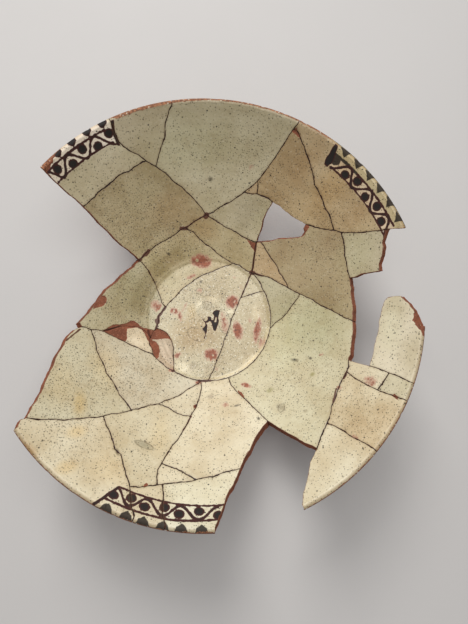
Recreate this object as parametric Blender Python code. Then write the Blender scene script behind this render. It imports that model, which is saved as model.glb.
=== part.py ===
"""A shallow flaring earthenware bowl, broken into sherds and mended with its gaps left open.

The bowl is a turned shape: a flat disc foot, a round well with a small step at its edge, and a
curved wall up to a rounded lip. The sherds are cut from that shape in plan. Each crack and each
broken edge is one line between two junctions, and each sherd is the loop of lines around it.
The frame is +Z up, with the origin at the centre of the foot's underside. Azimuths are degrees
from +X towards +Y. The design is in millimetres and is turned into metres as meshes are made.
"""

import math

import bpy
import bmesh
from mathutils import Vector
from mathutils.geometry import delaunay_2d_cdt

MM = 0.001

# ---------------------------------------------------------------- driving dimensions, mm and degrees
RIM_RADIUS = 160.0
HEIGHT = 100.0
RIM_SLOPE = 53.7
RIM_THICKNESS = 5.0
LIP_RISE = 2.0
FLOOR_HEIGHT = 12.0
WELL_RADIUS = 56.3
WELL_FLAT_RADIUS = 52.5
WELL_STEP = 2.0
WALL_THICKNESS = 7.5
THINNING_STARTS = 95.0
FOOT_RADIUS = 50.5
FOOT_TOP_RADIUS = 52.0
FOOT_STEP = 4.5
CLAY_BEND_ENDS = 62.0

JOINT_GAP = 0.3
MAX_MITRE = 3.0
SEAM_STEP = 5.0
SEAM_WANDER = 0.3
LIP_TURNS = (-35.0, 15.0, 60.0)

# Rings of inner points: (radius, points in the full ring, least distance to the sherd's edge)
CREASE_RINGS = ((FOOT_RADIUS - 0.4, 44, 2.2), (FOOT_TOP_RADIUS, 44, 2.2), (WELL_RADIUS, 44, 2.2))
WALL_RINGS = ((72.0, 28, 5.0), (88.0, 34, 5.0), (104.0, 40, 5.0), (120.0, 46, 5.0),
              (135.0, 52, 5.0), (147.0, 56, 4.0))

GLAZES = {
    "cream": (0.70, 0.63, 0.47), "sage": (0.60, 0.59, 0.42), "tan": (0.58, 0.46, 0.31),
    "olive": (0.49, 0.43, 0.29), "gloss": (0.74, 0.69, 0.54), "pink": (0.66, 0.53, 0.42),
}
CLAY = (0.36, 0.13, 0.07)

# ---------------------------------------------------------------- junctions of the cracks, in plan
RIM_CORNERS = {
    "rim_west_tip": 142.2, "rim_cap_west": 119.1, "rim_northwest": 100.9, "rim_northeast": 63.7,
    "rim_east_tip": 20.2, "rim_arm": -7.6, "rim_arm_foot": -23.2, "rim_east_patch": -28.1,
    "rim_southeast": -43.2, "rim_south_tip": -66.4, "rim_south": -88.4, "rim_south_crack": -100.3,
    "rim_cap_south": -108.1, "rim_southwest": -144.6,
}
WELL_CORNERS = {
    "well_northeast": 26.3, "well_east": -10.2, "well_south": -71.7, "well_foot": -90.0,
    "well_fan": -96.0, "well_southwest": -122.4,
}
CORNERS = {
    "notch_fork": (-101.0, 80.5), "cap_fork": (-52.0, 120.5), "north_split": (-44.5, 118.5),
    "north_hub": (-2.5, 89.0), "northwest_fork": (-21.0, 79.0), "west_hub": (-61.0, 49.0),
    "chip_west": (30.5, 104.5), "chip_top": (41.0, 111.0), "chip_base": (41.5, 102.5),
    "wedge_top": (66.0, 137.3), "hole_top": (55.0, 95.5), "hole_west": (43.0, 67.0),
    "hole_base": (46.5, 66.5), "hole_southeast": (80.0, 66.5), "hole_east": (82.5, 75.0),
    "east_fork": (104.0, 66.0), "east_hub": (109.5, 63.0), "east_notch": (138.5, 56.6),
    "east_corner": (135.3, 27.0), "east_step": (116.5, 26.0), "east_shoulder": (117.5, -10.0),
    "wall_fork": (80.5, 19.0), "sliver_end": (71.5, 25.0), "well_hub": (39.5, 42.0),
    "well_fork": (22.5, 51.0), "well_west": (-38.5, 10.0), "spall_top": (-46.5, -9.5),
    "spall_fork": (-51.5, -18.0), "spall_east": (-32.5, -21.0), "spall_west": (-88.0, -15.5),
    "tongue_end": (-48.5, -33.0), "west_tip": (-105.0, -10.5), "west_nick": (-103.0, -13.7),
    "west_fork": (-96.5, -15.5), "inner_fork": (29.5, 19.0), "outer_west": (-124.5, -84.5),
    "rim_fork": (-80.0, -84.5), "southwest_hub": (-61.0, -80.5), "south_fork": (-41.0, -76.0),
    "south_bend": (-14.5, -86.0), "sliver_top": (-34.5, -119.0), "sliver_east": (-8.5, -130.0),
    "sliver_west": (-36.0, -132.0), "sliver_crack": (-32.5, -132.0), "cap_south": (-54.5, -132.0),
    "south_edge": (24.0, -123.5), "gap_top": (48.0, -90.0), "gap_east": (80.0, -108.5),
    "tip_fork": (90.5, -91.0), "patch_west": (109.5, -51.5), "gap_shoulder": (112.0, -42.0),
    "arm_root": (124.0, -47.5), "patch_south": (125.5, -66.5), "patch_north": (134.0, -54.0),
    "arm_top": (139.5, 5.3), "arm_spall": (146.5, 4.5),
}

# ---------------------------------------------------------------- cracks and broken edges
# Each line runs from its first junction to its second, through the points between them.
SEAMS = {
    ("rim_west_tip", "notch_fork"): [(-120.5, 93.0), (-116.0, 90.0), (-108.0, 85.0)],
    ("notch_fork", "west_hub"): [(-94.0, 74.5), (-88.0, 69.0), (-80.0, 62.5), (-74.0, 58.0),
                                 (-69.5, 54.8), (-65.5, 52.5)],
    ("notch_fork", "cap_fork"): [(-96.0, 86.0), (-90.0, 92.5), (-84.0, 98.0), (-77.0, 104.5),
                                 (-72.0, 108.5), (-66.0, 112.0), (-60.0, 116.0)],
    ("cap_fork", "rim_cap_west"): [(-58.0, 122.5), (-64.0, 124.5), (-71.5, 127.0), (-74.0, 131.5)],
    ("cap_fork", "north_split"): [(-48.0, 119.5)],
    ("north_split", "rim_northwest"): [(-42.0, 124.0), (-39.5, 130.0), (-36.5, 137.0),
                                       (-35.0, 143.0), (-32.5, 149.0)],
    ("north_split", "north_hub"): [(-38.0, 115.5), (-30.0, 111.0), (-24.0, 107.5), (-17.0, 103.0),
                                   (-11.5, 99.0), (-7.0, 94.0)],
    ("north_hub", "northwest_fork"): [(-8.0, 87.0), (-13.0, 84.0), (-17.5, 81.0)],
    ("northwest_fork", "west_hub"): [(-25.0, 77.5), (-30.0, 73.0), (-37.0, 69.0), (-43.0, 65.0),
                                     (-50.0, 60.0), (-55.0, 56.0)],
    ("west_hub", "well_west"): [(-56.0, 44.5), (-52.0, 38.0), (-48.0, 31.0), (-46.0, 26.0),
                                (-44.0, 20.0), (-42.0, 13.5)],
    ("north_hub", "chip_west"): [(4.0, 91.5), (10.0, 95.0), (18.0, 98.5), (25.0, 101.5)],
    ("chip_west", "chip_top"): [(35.5, 107.5)],
    ("chip_west", "chip_base"): [(36.0, 103.0)],
    ("chip_top", "chip_base"): [(41.5, 106.5)],
    ("chip_top", "wedge_top"): [(46.0, 116.0), (50.0, 120.0), (55.0, 124.5), (60.0, 131.0),
                                (63.0, 134.5)],
    ("wedge_top", "rim_northeast"): [],
    ("wedge_top", "east_fork"): [(69.5, 135.5), (72.0, 132.0), (75.0, 127.0), (80.0, 119.0),
                                 (84.0, 110.0), (87.0, 102.0), (90.0, 97.0), (94.0, 89.0),
                                 (98.0, 82.0), (101.5, 74.0)],
    ("chip_base", "hole_top"): [(47.0, 100.5), (51.0, 98.0)],
    ("hole_top", "hole_east"): [(61.0, 91.0), (68.0, 86.0), (75.0, 80.0)],
    ("hole_east", "east_fork"): [(87.0, 73.0), (94.0, 70.0), (99.0, 68.0)],
    ("hole_top", "hole_west"): [(53.0, 93.0), (50.5, 89.0), (48.0, 83.0), (45.5, 75.0)],
    ("hole_west", "hole_base"): [],
    ("hole_base", "hole_southeast"): [(55.0, 67.0), (65.0, 67.0), (73.0, 66.5)],
    ("hole_southeast", "hole_east"): [(81.5, 69.5), (81.0, 72.5)],
    ("north_hub", "hole_west"): [(8.0, 84.0), (16.0, 80.0), (24.0, 76.0), (32.0, 71.5),
                                 (37.0, 69.0)],
    ("east_fork", "east_hub"): [],
    ("east_hub", "east_notch"): [(115.0, 61.5), (125.0, 59.0), (133.0, 57.4)],
    ("east_notch", "rim_east_tip"): [],
    ("east_notch", "east_corner"): [(137.3, 52.0), (136.0, 48.0), (136.8, 44.0), (136.0, 38.0),
                                    (135.2, 32.0)],
    ("east_corner", "east_step"): [(132.0, 26.5), (128.0, 27.5), (124.0, 27.5), (119.5, 26.0)],
    ("east_hub", "east_step"): [(111.0, 58.0), (112.5, 50.0), (114.0, 40.0), (115.0, 33.0)],
    ("east_step", "east_shoulder"): [(117.3, 18.0), (118.0, 8.0), (118.3, -2.0)],
    ("hole_base", "sliver_end"): [(52.0, 59.0), (58.0, 50.0), (62.0, 43.5), (66.0, 36.0),
                                  (69.5, 30.0)],
    ("hole_west", "well_hub"): [(42.0, 60.0), (41.0, 52.0), (40.3, 46.0)],
    ("well_hub", "sliver_end"): [(45.0, 40.0), (50.0, 38.5), (57.0, 35.0), (64.0, 30.5)],
    ("sliver_end", "wall_fork"): [(76.0, 21.8)],
    ("wall_fork", "east_shoulder"): [(90.0, 12.0), (100.0, 4.0), (108.0, -2.5)],
    ("northwest_fork", "well_fork"): [(-14.0, 75.5), (-8.0, 71.0), (-2.0, 66.5), (5.0, 62.0),
                                      (12.0, 57.0), (18.0, 53.0)],
    ("well_fork", "well_hub"): [(29.0, 48.5), (35.0, 44.0)],
    ("well_fork", "well_west"): [(17.0, 49.0), (10.0, 46.5), (3.0, 43.5), (-5.0, 40.0),
                                 (-12.0, 36.0), (-18.0, 31.0), (-23.0, 27.5), (-28.0, 22.0),
                                 (-33.0, 16.0)],
    ("well_west", "spall_top"): [(-41.0, 6.0), (-44.5, 1.0), (-45.0, -4.0)],
    ("spall_top", "spall_fork"): [(-49.0, -13.0)],
    ("west_hub", "west_tip"): [(-66.0, 43.0), (-70.0, 39.0), (-76.0, 32.5), (-81.0, 27.0),
                               (-86.0, 21.0), (-90.0, 15.0), (-93.0, 10.0), (-97.0, 2.0),
                               (-101.0, -4.5)],
    ("west_tip", "west_nick"): [],
    ("west_nick", "west_fork"): [(-100.0, -14.3)],
    ("west_fork", "spall_west"): [(-92.0, -15.0)],
    ("spall_west", "spall_fork"): [(-82.0, -12.5), (-76.0, -10.0), (-69.0, -9.3), (-62.0, -9.0),
                                   (-56.0, -12.0)],
    ("spall_fork", "tongue_end"): [(-51.0, -24.0), (-49.2, -29.0)],
    ("spall_west", "tongue_end"): [(-80.0, -19.5), (-73.0, -22.5), (-65.0, -26.0), (-57.0, -30.0)],
    ("tongue_end", "well_southwest"): [(-45.0, -37.0), (-41.0, -40.5), (-36.0, -44.5)],
    ("spall_top", "spall_east"): [(-42.0, -11.0), (-38.0, -13.0), (-34.5, -16.5)],
    ("spall_east", "well_southwest"): [(-31.0, -27.0), (-30.5, -35.0), (-30.2, -42.0)],
    ("inner_fork", "well_northeast"): [(36.0, 21.5), (43.0, 23.5)],
    ("well_hub", "inner_fork"): [(36.0, 34.0), (33.0, 27.0)],
    ("inner_fork", "well_foot"): [(27.0, 13.0), (23.0, 4.0), (20.0, -5.0), (16.0, -16.0),
                                  (13.0, -25.0), (8.0, -38.0), (3.0, -50.0)],
    ("well_hub", "well_northeast"): [(43.5, 37.8), (47.5, 32.0)],
    ("well_east", "wall_fork"): [(60.0, -5.5), (66.0, -0.5), (72.0, 6.0), (76.5, 12.5)],
    ("well_south", "gap_top"): [(20.0, -60.0), (24.0, -65.0), (30.0, -71.0), (37.0, -78.0),
                                (43.0, -85.0)],
    ("gap_top", "gap_east"): [(52.0, -92.3), (58.0, -96.0), (65.0, -100.7), (72.0, -104.3)],
    ("gap_east", "tip_fork"): [(83.0, -103.0), (86.5, -97.0)],
    ("tip_fork", "patch_west"): [(94.0, -83.0), (98.0, -74.0), (102.0, -65.0), (106.0, -58.0)],
    ("patch_west", "gap_shoulder"): [(111.0, -47.0)],
    ("east_shoulder", "gap_shoulder"): [(117.0, -20.0), (115.5, -29.0), (113.5, -37.0)],
    ("gap_shoulder", "arm_root"): [(117.0, -44.7)],
    ("arm_root", "patch_north"): [(129.0, -50.3)],
    ("patch_north", "rim_arm_foot"): [(139.0, -57.0)],
    ("patch_west", "patch_south"): [(114.0, -56.5), (120.0, -62.5)],
    ("patch_south", "patch_north"): [(129.0, -62.0), (131.7, -58.0)],
    ("patch_south", "rim_east_patch"): [(130.0, -69.5)],
    ("tip_fork", "rim_southeast"): [(95.0, -93.0), (100.0, -96.5), (106.0, -101.0)],
    ("gap_east", "rim_south_tip"): [(76.0, -114.0), (72.0, -122.0), (68.3, -130.0), (65.5, -136.0)],
    ("arm_root", "arm_top"): [(126.0, -42.0), (129.0, -33.0), (131.0, -25.0), (132.8, -17.0),
                              (134.3, -9.0), (135.8, -2.0), (137.3, 3.0)],
    ("arm_top", "arm_spall"): [(143.0, 5.5)],
    ("arm_spall", "rim_arm"): [(149.8, -2.0), (152.0, -8.0), (153.8, -14.0)],
    ("west_fork", "southwest_hub"): [(-94.0, -22.0), (-91.0, -32.0), (-87.0, -41.0),
                                     (-82.0, -51.0), (-76.0, -60.0), (-71.0, -68.0),
                                     (-65.0, -75.5)],
    ("southwest_hub", "rim_fork"): [(-70.0, -82.5)],
    ("rim_fork", "outer_west"): [(-84.0, -85.0), (-90.0, -85.7), (-100.0, -86.3), (-108.0, -86.3),
                                 (-117.0, -86.0)],
    ("west_nick", "outer_west"): [(-106.8, -16.0), (-110.5, -21.5), (-113.5, -30.0),
                                  (-116.3, -40.0), (-118.3, -50.0), (-119.8, -60.0),
                                  (-121.3, -68.0), (-123.0, -76.0)],
    ("outer_west", "rim_southwest"): [(-127.0, -85.3)],
    ("southwest_hub", "south_fork"): [(-55.0, -79.0), (-47.0, -77.2)],
    ("south_fork", "well_fan"): [(-36.0, -73.3), (-29.0, -71.0), (-22.0, -67.0), (-18.0, -64.0),
                                 (-13.0, -61.5), (-9.0, -58.3)],
    ("south_fork", "south_bend"): [(-33.0, -79.0), (-28.0, -82.0), (-20.0, -85.0)],
    ("well_fan", "south_bend"): [(-5.8, -62.0), (-7.0, -70.0), (-10.0, -78.0)],
    ("south_bend", "sliver_top"): [(-18.0, -94.0), (-22.0, -100.0), (-27.0, -107.0),
                                   (-31.0, -113.0)],
    ("sliver_top", "sliver_west"): [(-36.7, -123.0), (-36.8, -127.0)],
    ("sliver_top", "sliver_east"): [(-30.0, -120.3), (-24.0, -123.0), (-16.0, -126.5)],
    ("sliver_west", "sliver_crack"): [],
    ("sliver_crack", "sliver_east"): [(-24.0, -131.5), (-16.0, -131.0)],
    ("sliver_crack", "rim_south_crack"): [(-31.3, -138.0), (-31.5, -143.0), (-30.5, -148.5)],
    ("sliver_east", "south_edge"): [(0.0, -128.5), (8.0, -127.0), (16.0, -125.0)],
    ("cap_south", "sliver_west"): [(-48.0, -132.2), (-42.0, -132.3)],
    ("rim_fork", "cap_south"): [(-77.0, -91.0), (-73.0, -98.0), (-70.0, -104.0), (-68.0, -108.0),
                                (-64.0, -112.0), (-61.0, -118.0), (-58.0, -124.0),
                                (-55.8, -129.0)],
    ("cap_south", "rim_cap_south"): [(-53.0, -137.0), (-51.5, -142.0)],
    ("south_edge", "rim_south"): [(20.0, -130.0), (15.0, -137.0), (11.0, -144.0), (7.8, -150.0)],
    ("gap_top", "south_edge"): [(44.0, -93.5), (40.0, -99.0), (36.0, -104.0), (32.0, -111.0),
                                (28.0, -117.0)],
}

# ---------------------------------------------------------------- sherds: glaze tone, then the loop
SHERDS = {
    "rim_sherd_west": ("sage", "rim_west_tip notch_fork cap_fork rim_cap_west"),
    "rim_sherd_northwest": ("sage", "rim_cap_west cap_fork north_split rim_northwest"),
    "rim_sherd_north": ("sage", "rim_northwest north_split north_hub chip_west chip_top wedge_top "
                                "rim_northeast"),
    "rim_sherd_northeast": ("tan", "rim_northeast wedge_top east_fork east_hub east_notch "
                                   "rim_east_tip"),
    "rim_sherd_arm": ("sage", "rim_arm arm_spall arm_top arm_root patch_north rim_arm_foot"),
    "rim_patch_east": ("sage", "rim_arm_foot patch_north patch_south rim_east_patch"),
    "rim_sherd_southeast": ("tan", "rim_east_patch patch_south patch_west tip_fork rim_southeast"),
    "rim_sherd_tip": ("cream", "rim_southeast tip_fork gap_east rim_south_tip"),
    "rim_sherd_south": ("cream", "rim_south south_edge sliver_east sliver_crack rim_south_crack"),
    "rim_patch_south": ("cream", "rim_south_crack sliver_crack sliver_west cap_south rim_cap_south"),
    "rim_sherd_southwest": ("cream", "rim_cap_south cap_south rim_fork outer_west rim_southwest"),
    "wall_sherd_northwest": ("olive", "notch_fork west_hub northwest_fork north_hub north_split "
                                      "cap_fork"),
    "wall_sherd_north": ("sage", "north_hub hole_west hole_top chip_base chip_west"),
    "wall_chip_north": ("tan", "chip_west chip_base chip_top"),
    "wall_wedge_northeast": ("tan", "wedge_top chip_top chip_base hole_top hole_east east_fork"),
    "wall_sherd_east": ("sage", "east_hub east_step east_corner east_notch"),
    "wall_sherd_northeast": ("pink", "hole_base hole_southeast hole_east east_fork east_hub "
                                     "east_step east_shoulder wall_fork sliver_end"),
    "wall_sliver_northeast": ("tan", "hole_west hole_base sliver_end well_hub"),
    "wall_sherd_above_well": ("olive", "north_hub northwest_fork well_fork well_hub hole_west"),
    "wall_sherd_beside_well": ("olive", "northwest_fork west_hub well_west well_fork"),
    "wall_sherd_west": ("olive", "west_hub west_tip west_nick west_fork spall_west spall_fork "
                                 "spall_top well_west"),
    "wall_tongue_west": ("cream", "spall_west tongue_end spall_fork"),
    "wall_sherd_outer_west": ("cream", "west_nick outer_west rim_fork southwest_hub west_fork"),
    "wall_sherd_southwest": ("cream", "west_fork southwest_hub south_fork well_fan "
                                      "well_southwest tongue_end spall_west"),
    "wall_sherd_south": ("cream", "rim_fork cap_south sliver_west sliver_top south_bend "
                                  "south_fork southwest_hub"),
    "wall_wedge_south": ("cream", "south_fork south_bend well_fan"),
    "wall_sherd_below_well": ("cream", "well_fan south_bend sliver_top sliver_east south_edge "
                                       "gap_top well_south well_foot"),
    "wall_sliver_south": ("cream", "sliver_top sliver_west sliver_crack sliver_east"),
    "wall_sherd_southeast": ("cream", "well_east well_south gap_top gap_east tip_fork patch_west "
                                      "gap_shoulder east_shoulder wall_fork"),
    "wall_patch_southeast": ("cream", "gap_shoulder arm_root patch_north patch_south patch_west"),
    "wall_wedge_east": ("sage", "well_hub well_northeast well_east wall_fork sliver_end"),
    "well_sherd_centre": ("gloss", "well_west spall_top spall_east well_southwest well_fan "
                                   "well_foot inner_fork well_hub well_fork"),
    "well_chip_northeast": ("gloss", "well_hub inner_fork well_northeast"),
    "well_sherd_east": ("gloss", "inner_fork well_foot well_south well_east well_northeast"),
    "well_patch_west": ("pink", "spall_top spall_fork tongue_end well_southwest spall_east"),
}


# ---------------------------------------------------------------- the turned shape
def polar(radius, azimuth):
    """Plan point at a radius and an azimuth in degrees."""
    angle = math.radians(azimuth)
    return (radius * math.cos(angle), radius * math.sin(angle))


def smoothstep(value, low, high):
    share = min(1.0, max(0.0, (value - low) / (high - low)))
    return share * share * (3.0 - 2.0 * share)


def lip_geometry():
    """Centre of the rounded lip, and the inner edge where the lip begins, as (radius, height)."""
    slope = math.radians(RIM_SLOPE)
    half = RIM_THICKNESS / 2.0
    centre = (RIM_RADIUS - math.hypot(LIP_RISE * math.cos(slope), half * math.sin(slope)),
              HEIGHT - math.hypot(LIP_RISE * math.sin(slope), half * math.cos(slope)))
    edge = (centre[0] - half * math.sin(slope), centre[1] + half * math.cos(slope))
    return centre, edge


LIP_CENTRE, RIM_EDGE = lip_geometry()


def wall_arc():
    """Centre and radius of the arc that the inner wall follows, and its slope at the well."""
    start = (WELL_RADIUS, FLOOR_HEIGHT + WELL_STEP)
    run, rise = RIM_EDGE[0] - start[0], RIM_EDGE[1] - start[1]
    end_slope = math.radians(RIM_SLOPE)
    start_slope = 2.0 * math.atan2(rise, run) - end_slope
    radius = math.hypot(run, rise) / (2.0 * math.sin((end_slope - start_slope) / 2.0))
    centre = (start[0] - radius * math.sin(start_slope), start[1] + radius * math.cos(start_slope))
    return centre, radius, start_slope


ARC_CENTRE, ARC_RADIUS, ARC_START_SLOPE = wall_arc()


def inner_height(radius):
    """Height of the glazed surface at a plan radius."""
    if radius < WELL_RADIUS:
        return FLOOR_HEIGHT + WELL_STEP * smoothstep(radius, WELL_FLAT_RADIUS, WELL_RADIUS)
    return ARC_CENTRE[1] - math.sqrt(ARC_RADIUS ** 2 - (radius - ARC_CENTRE[0]) ** 2)


def wall_slope(radius):
    """Slope of the wall in radians, which eases to flat over the foot."""
    if radius < CLAY_BEND_ENDS:
        end = math.asin((CLAY_BEND_ENDS - ARC_CENTRE[0]) / ARC_RADIUS)
        return end * smoothstep(radius, FOOT_RADIUS, CLAY_BEND_ENDS)
    return math.asin((radius - ARC_CENTRE[0]) / ARC_RADIUS)


def thickness(radius):
    """Thickness of the pot, square to the wall, with the foot's disc counted in."""
    if radius < FOOT_RADIUS:
        return inner_height(radius)
    if radius < THINNING_STARTS:
        foot = FOOT_STEP * (1.0 - smoothstep(radius, FOOT_RADIUS, FOOT_TOP_RADIUS))
        return WALL_THICKNESS + foot
    share = (radius - THINNING_STARTS) / (RIM_EDGE[0] - THINNING_STARTS)
    return WALL_THICKNESS + (RIM_THICKNESS - WALL_THICKNESS) * share


def section_points(point, on_rim):
    """Points through the pot's thickness at a plan point, from the glaze to the outside."""
    radius = math.hypot(*point)
    out = Vector((point[0] / radius, point[1] / radius, 0.0)) if radius > 0.01 else Vector((1, 0, 0))
    up = Vector((0.0, 0.0, 1.0))
    slope = wall_slope(radius)
    through = out * math.sin(slope) - up * math.cos(slope)
    inner = Vector((point[0], point[1], inner_height(radius)))
    outer = inner + through * thickness(radius)
    if not on_rim:
        return [inner, outer]
    along = out * math.cos(slope) + up * math.sin(slope)
    centre = out * LIP_CENTRE[0] + up * LIP_CENTRE[1]
    lip = [centre + along * (LIP_RISE * math.cos(math.radians(turn)))
           + through * (RIM_THICKNESS / 2.0 * math.sin(math.radians(turn))) for turn in LIP_TURNS]
    return [inner, *lip, outer]


# ---------------------------------------------------------------- lines in plan
def corner_point(name):
    if name in RIM_CORNERS:
        return polar(RIM_EDGE[0], RIM_CORNERS[name])
    if name in WELL_CORNERS:
        return polar(WELL_RADIUS, WELL_CORNERS[name])
    return CORNERS[name]


def arc_line(radius, start, end):
    """Points along a circle about the axis, the short way round."""
    turn = (end - start + 180.0) % 360.0 - 180.0
    count = max(1, math.ceil(abs(math.radians(turn)) * radius / SEAM_STEP))
    return [polar(radius, start + turn * i / count) for i in range(count + 1)]


def smooth_line(points):
    """A centripetal Catmull-Rom curve through the points, cut into steps of about SEAM_STEP."""
    knots = [Vector(p) for p in points]
    knots = [2 * knots[0] - knots[1], *knots, 2 * knots[-1] - knots[-2]]
    line = [tuple(knots[1])]
    for a, b, c, d in zip(knots, knots[1:], knots[2:], knots[3:]):
        times = [0.0]
        for left, right in ((a, b), (b, c), (c, d)):
            times.append(times[-1] + math.sqrt((right - left).length))
        count = max(1, round((c - b).length / SEAM_STEP))
        for i in range(1, count + 1):
            t = times[1] + (times[2] - times[1]) * i / count
            ab = a.lerp(b, (t - times[0]) / (times[1] - times[0]))
            bc = b.lerp(c, (t - times[1]) / (times[2] - times[1]))
            cd = c.lerp(d, (t - times[2]) / (times[3] - times[2]))
            abc = ab.lerp(bc, (t - times[0]) / (times[2] - times[0]))
            bcd = bc.lerp(cd, (t - times[1]) / (times[3] - times[1]))
            line.append(tuple(abc.lerp(bcd, (t - times[1]) / (times[2] - times[1]))))
    return line


def wander(line, phase):
    """Let a crack stray sideways from its smooth line, as fired clay breaks."""
    result = [line[0]]
    run = 0.0
    for before, here, after in zip(line, line[1:], line[2:]):
        run += math.dist(before, here)
        across = Vector((before[1] - after[1], after[0] - before[0])).normalized()
        shift = SEAM_WANDER * (math.sin(run / 3.1 + phase) + 0.6 * math.sin(run / 1.7 + 2.3 * phase))
        result.append(tuple(Vector(here) + across * shift))
    result.append(line[-1])
    return result


def add_crossings(line):
    """Give the line a point where it crosses each crease of the foot and the well."""
    result = [line[0]]
    for start, end in zip(line, line[1:]):
        low, high = math.hypot(*start), math.hypot(*end)
        rings = [ring[0] for ring in CREASE_RINGS if (low - ring[0]) * (high - ring[0]) < 0.0]
        shares = sorted((ring - low) / (high - low) for ring in rings)
        length = math.dist(start, end)
        for share in shares:
            if 0.8 / length < share < 1.0 - 0.8 / length:
                result.append(tuple(Vector(start).lerp(Vector(end), share)))
        result.append(end)
    return result


def build_lines():
    """Every crack and broken edge as a list of plan points."""
    lines = {}
    for number, ((start, end), between) in enumerate(SEAMS.items()):
        line = smooth_line([corner_point(start), *between, corner_point(end)])
        lines[start, end] = add_crossings(wander(line, number))
    return lines


def line_between(lines, start, end):
    """The line from one junction to the next: a crack, or an arc of the rim or the well."""
    if (start, end) in lines:
        return lines[start, end]
    if (end, start) in lines:
        return lines[end, start][::-1]
    if start in RIM_CORNERS:
        return arc_line(RIM_EDGE[0], RIM_CORNERS[start], RIM_CORNERS[end])
    return arc_line(WELL_RADIUS, WELL_CORNERS[start], WELL_CORNERS[end])


# ---------------------------------------------------------------- one sherd
def signed_area(loop):
    return sum(a[0] * b[1] - b[0] * a[1] for a, b in zip(loop, loop[1:] + loop[:1])) / 2.0


def inset(loop, distance):
    """Move a counter-clockwise outline inwards, and keep the rim's points on the rim."""
    result = []
    for before, here, after in zip(loop[-1:] + loop[:-1], loop, loop[1:] + loop[:1]):
        ahead = (Vector(after) - Vector(here)).normalized()
        back = (Vector(here) - Vector(before)).normalized()
        normal = Vector((-ahead.y - back.y, ahead.x + back.x))
        spread = max(normal.length / 2.0, 1.0 / MAX_MITRE)
        moved = Vector(here) + normal.normalized() * distance / spread
        if abs(math.hypot(*here) - RIM_EDGE[0]) < 0.01:
            moved = moved.normalized() * RIM_EDGE[0]
        result.append(tuple(moved))
    return result


def edge_distance(point, loop):
    """Distance from a point to the outline."""
    best = math.inf
    for a, b in zip(loop, loop[1:] + loop[:1]):
        side = Vector(b) - Vector(a)
        share = min(1.0, max(0.0, (Vector(point) - Vector(a)).dot(side) / side.length_squared))
        best = min(best, (Vector(point) - Vector(a) - side * share).length)
    return best


def is_inside(point, loop):
    inside = False
    for a, b in zip(loop, loop[1:] + loop[:1]):
        if (a[1] > point[1]) != (b[1] > point[1]):
            if point[0] < a[0] + (b[0] - a[0]) * (point[1] - a[1]) / (b[1] - a[1]):
                inside = not inside
    return inside


def inner_points(loop):
    """Ring points that give the sherd its curve, clear of its edge."""
    points = []
    for radius, count, margin in CREASE_RINGS + WALL_RINGS:
        for i in range(count):
            point = polar(radius, 360.0 * i / count)
            if is_inside(point, loop) and edge_distance(point, loop) > margin:
                points.append(point)
    return points


def sherd_outline(lines, corners):
    loop = []
    for start, end in zip(corners, corners[1:] + corners[:1]):
        loop.extend(line_between(lines, start, end)[:-1])
    if signed_area(loop) < 0.0:
        loop.reverse()
    return inset(loop, JOINT_GAP / 2.0)


def add_side(mesh, first, second, outward):
    """Close the edge between two outline points, through the thickness.

    A break is slightly twisted where the wall bends, so its diagonals always lean outwards and
    two neighbouring sherds get the same facets.
    """
    if len(first) == len(second):
        for a, b, c, d in zip(first, first[1:], second[1:], second):
            halves = ((a, b, c), (a, c, d)) if outward else ((a, b, d), (b, c, d))
            for half in halves:
                mesh.faces.new(half)
    elif len(first) > len(second):
        for a, b in zip(first, first[1:]):
            mesh.faces.new((second[0], a, b))
        mesh.faces.new((second[0], first[-1], second[-1]))
    else:
        for a, b in zip(second, second[1:]):
            mesh.faces.new((first[0], b, a))
        mesh.faces.new((first[0], first[-1], second[-1]))


def build_sherd(name, tone, corners, lines, materials, parent):
    loop = sherd_outline(lines, corners)
    plan = [Vector(point) for point in loop + inner_points(loop)]
    plan, _, faces, _, _, _ = delaunay_2d_cdt(plan, [], [list(range(len(loop)))], 1, 1e-5)

    mesh = bmesh.new()
    centre = sum((Vector((p.x, p.y, inner_height(p.length))) for p in plan), Vector()) / len(plan)
    sections = []
    for point in plan:
        on_rim = abs(point.length - RIM_EDGE[0]) < 0.01
        sections.append([mesh.verts.new((p - centre) * MM) for p in section_points(point, on_rim)])
    uses = {}
    for face in faces:
        mesh.faces.new([sections[i][0] for i in face])
        outside = mesh.faces.new([sections[i][-1] for i in reversed(face)])
        outside.material_index = 1
        for start, end in zip(face, face[1:] + face[:1]):
            uses[start, end] = True
    glazed_and_outer = len(mesh.faces)
    for start, end in uses:
        if (end, start) not in uses:
            outward = plan[start].length < plan[end].length
            add_side(mesh, sections[start], sections[end], outward)
    mesh.faces.ensure_lookup_table()
    for face in mesh.faces[glazed_and_outer:]:
        face.material_index = 1
    unused = [vert for vert in mesh.verts if not vert.link_faces]
    bmesh.ops.delete(mesh, geom=unused, context="VERTS")
    bmesh.ops.recalc_face_normals(mesh, faces=mesh.faces[:])

    data = bpy.data.meshes.new(name)
    mesh.to_mesh(data)
    mesh.free()
    data.materials.append(materials[tone])
    data.materials.append(materials["clay"])
    sherd = bpy.data.objects.new(name, data)
    sherd.location = centre * MM
    sherd.parent = parent
    bpy.context.scene.collection.objects.link(sherd)
    return sherd


# ---------------------------------------------------------------- materials and assembly
def make_material(name, colour, roughness):
    material = bpy.data.materials.new(name)
    material.use_nodes = True
    shader = material.node_tree.nodes["Principled BSDF"]
    shader.inputs["Base Color"].default_value = (*colour, 1.0)
    shader.inputs["Roughness"].default_value = roughness
    shader.inputs["Metallic"].default_value = 0.0
    return material


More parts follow.
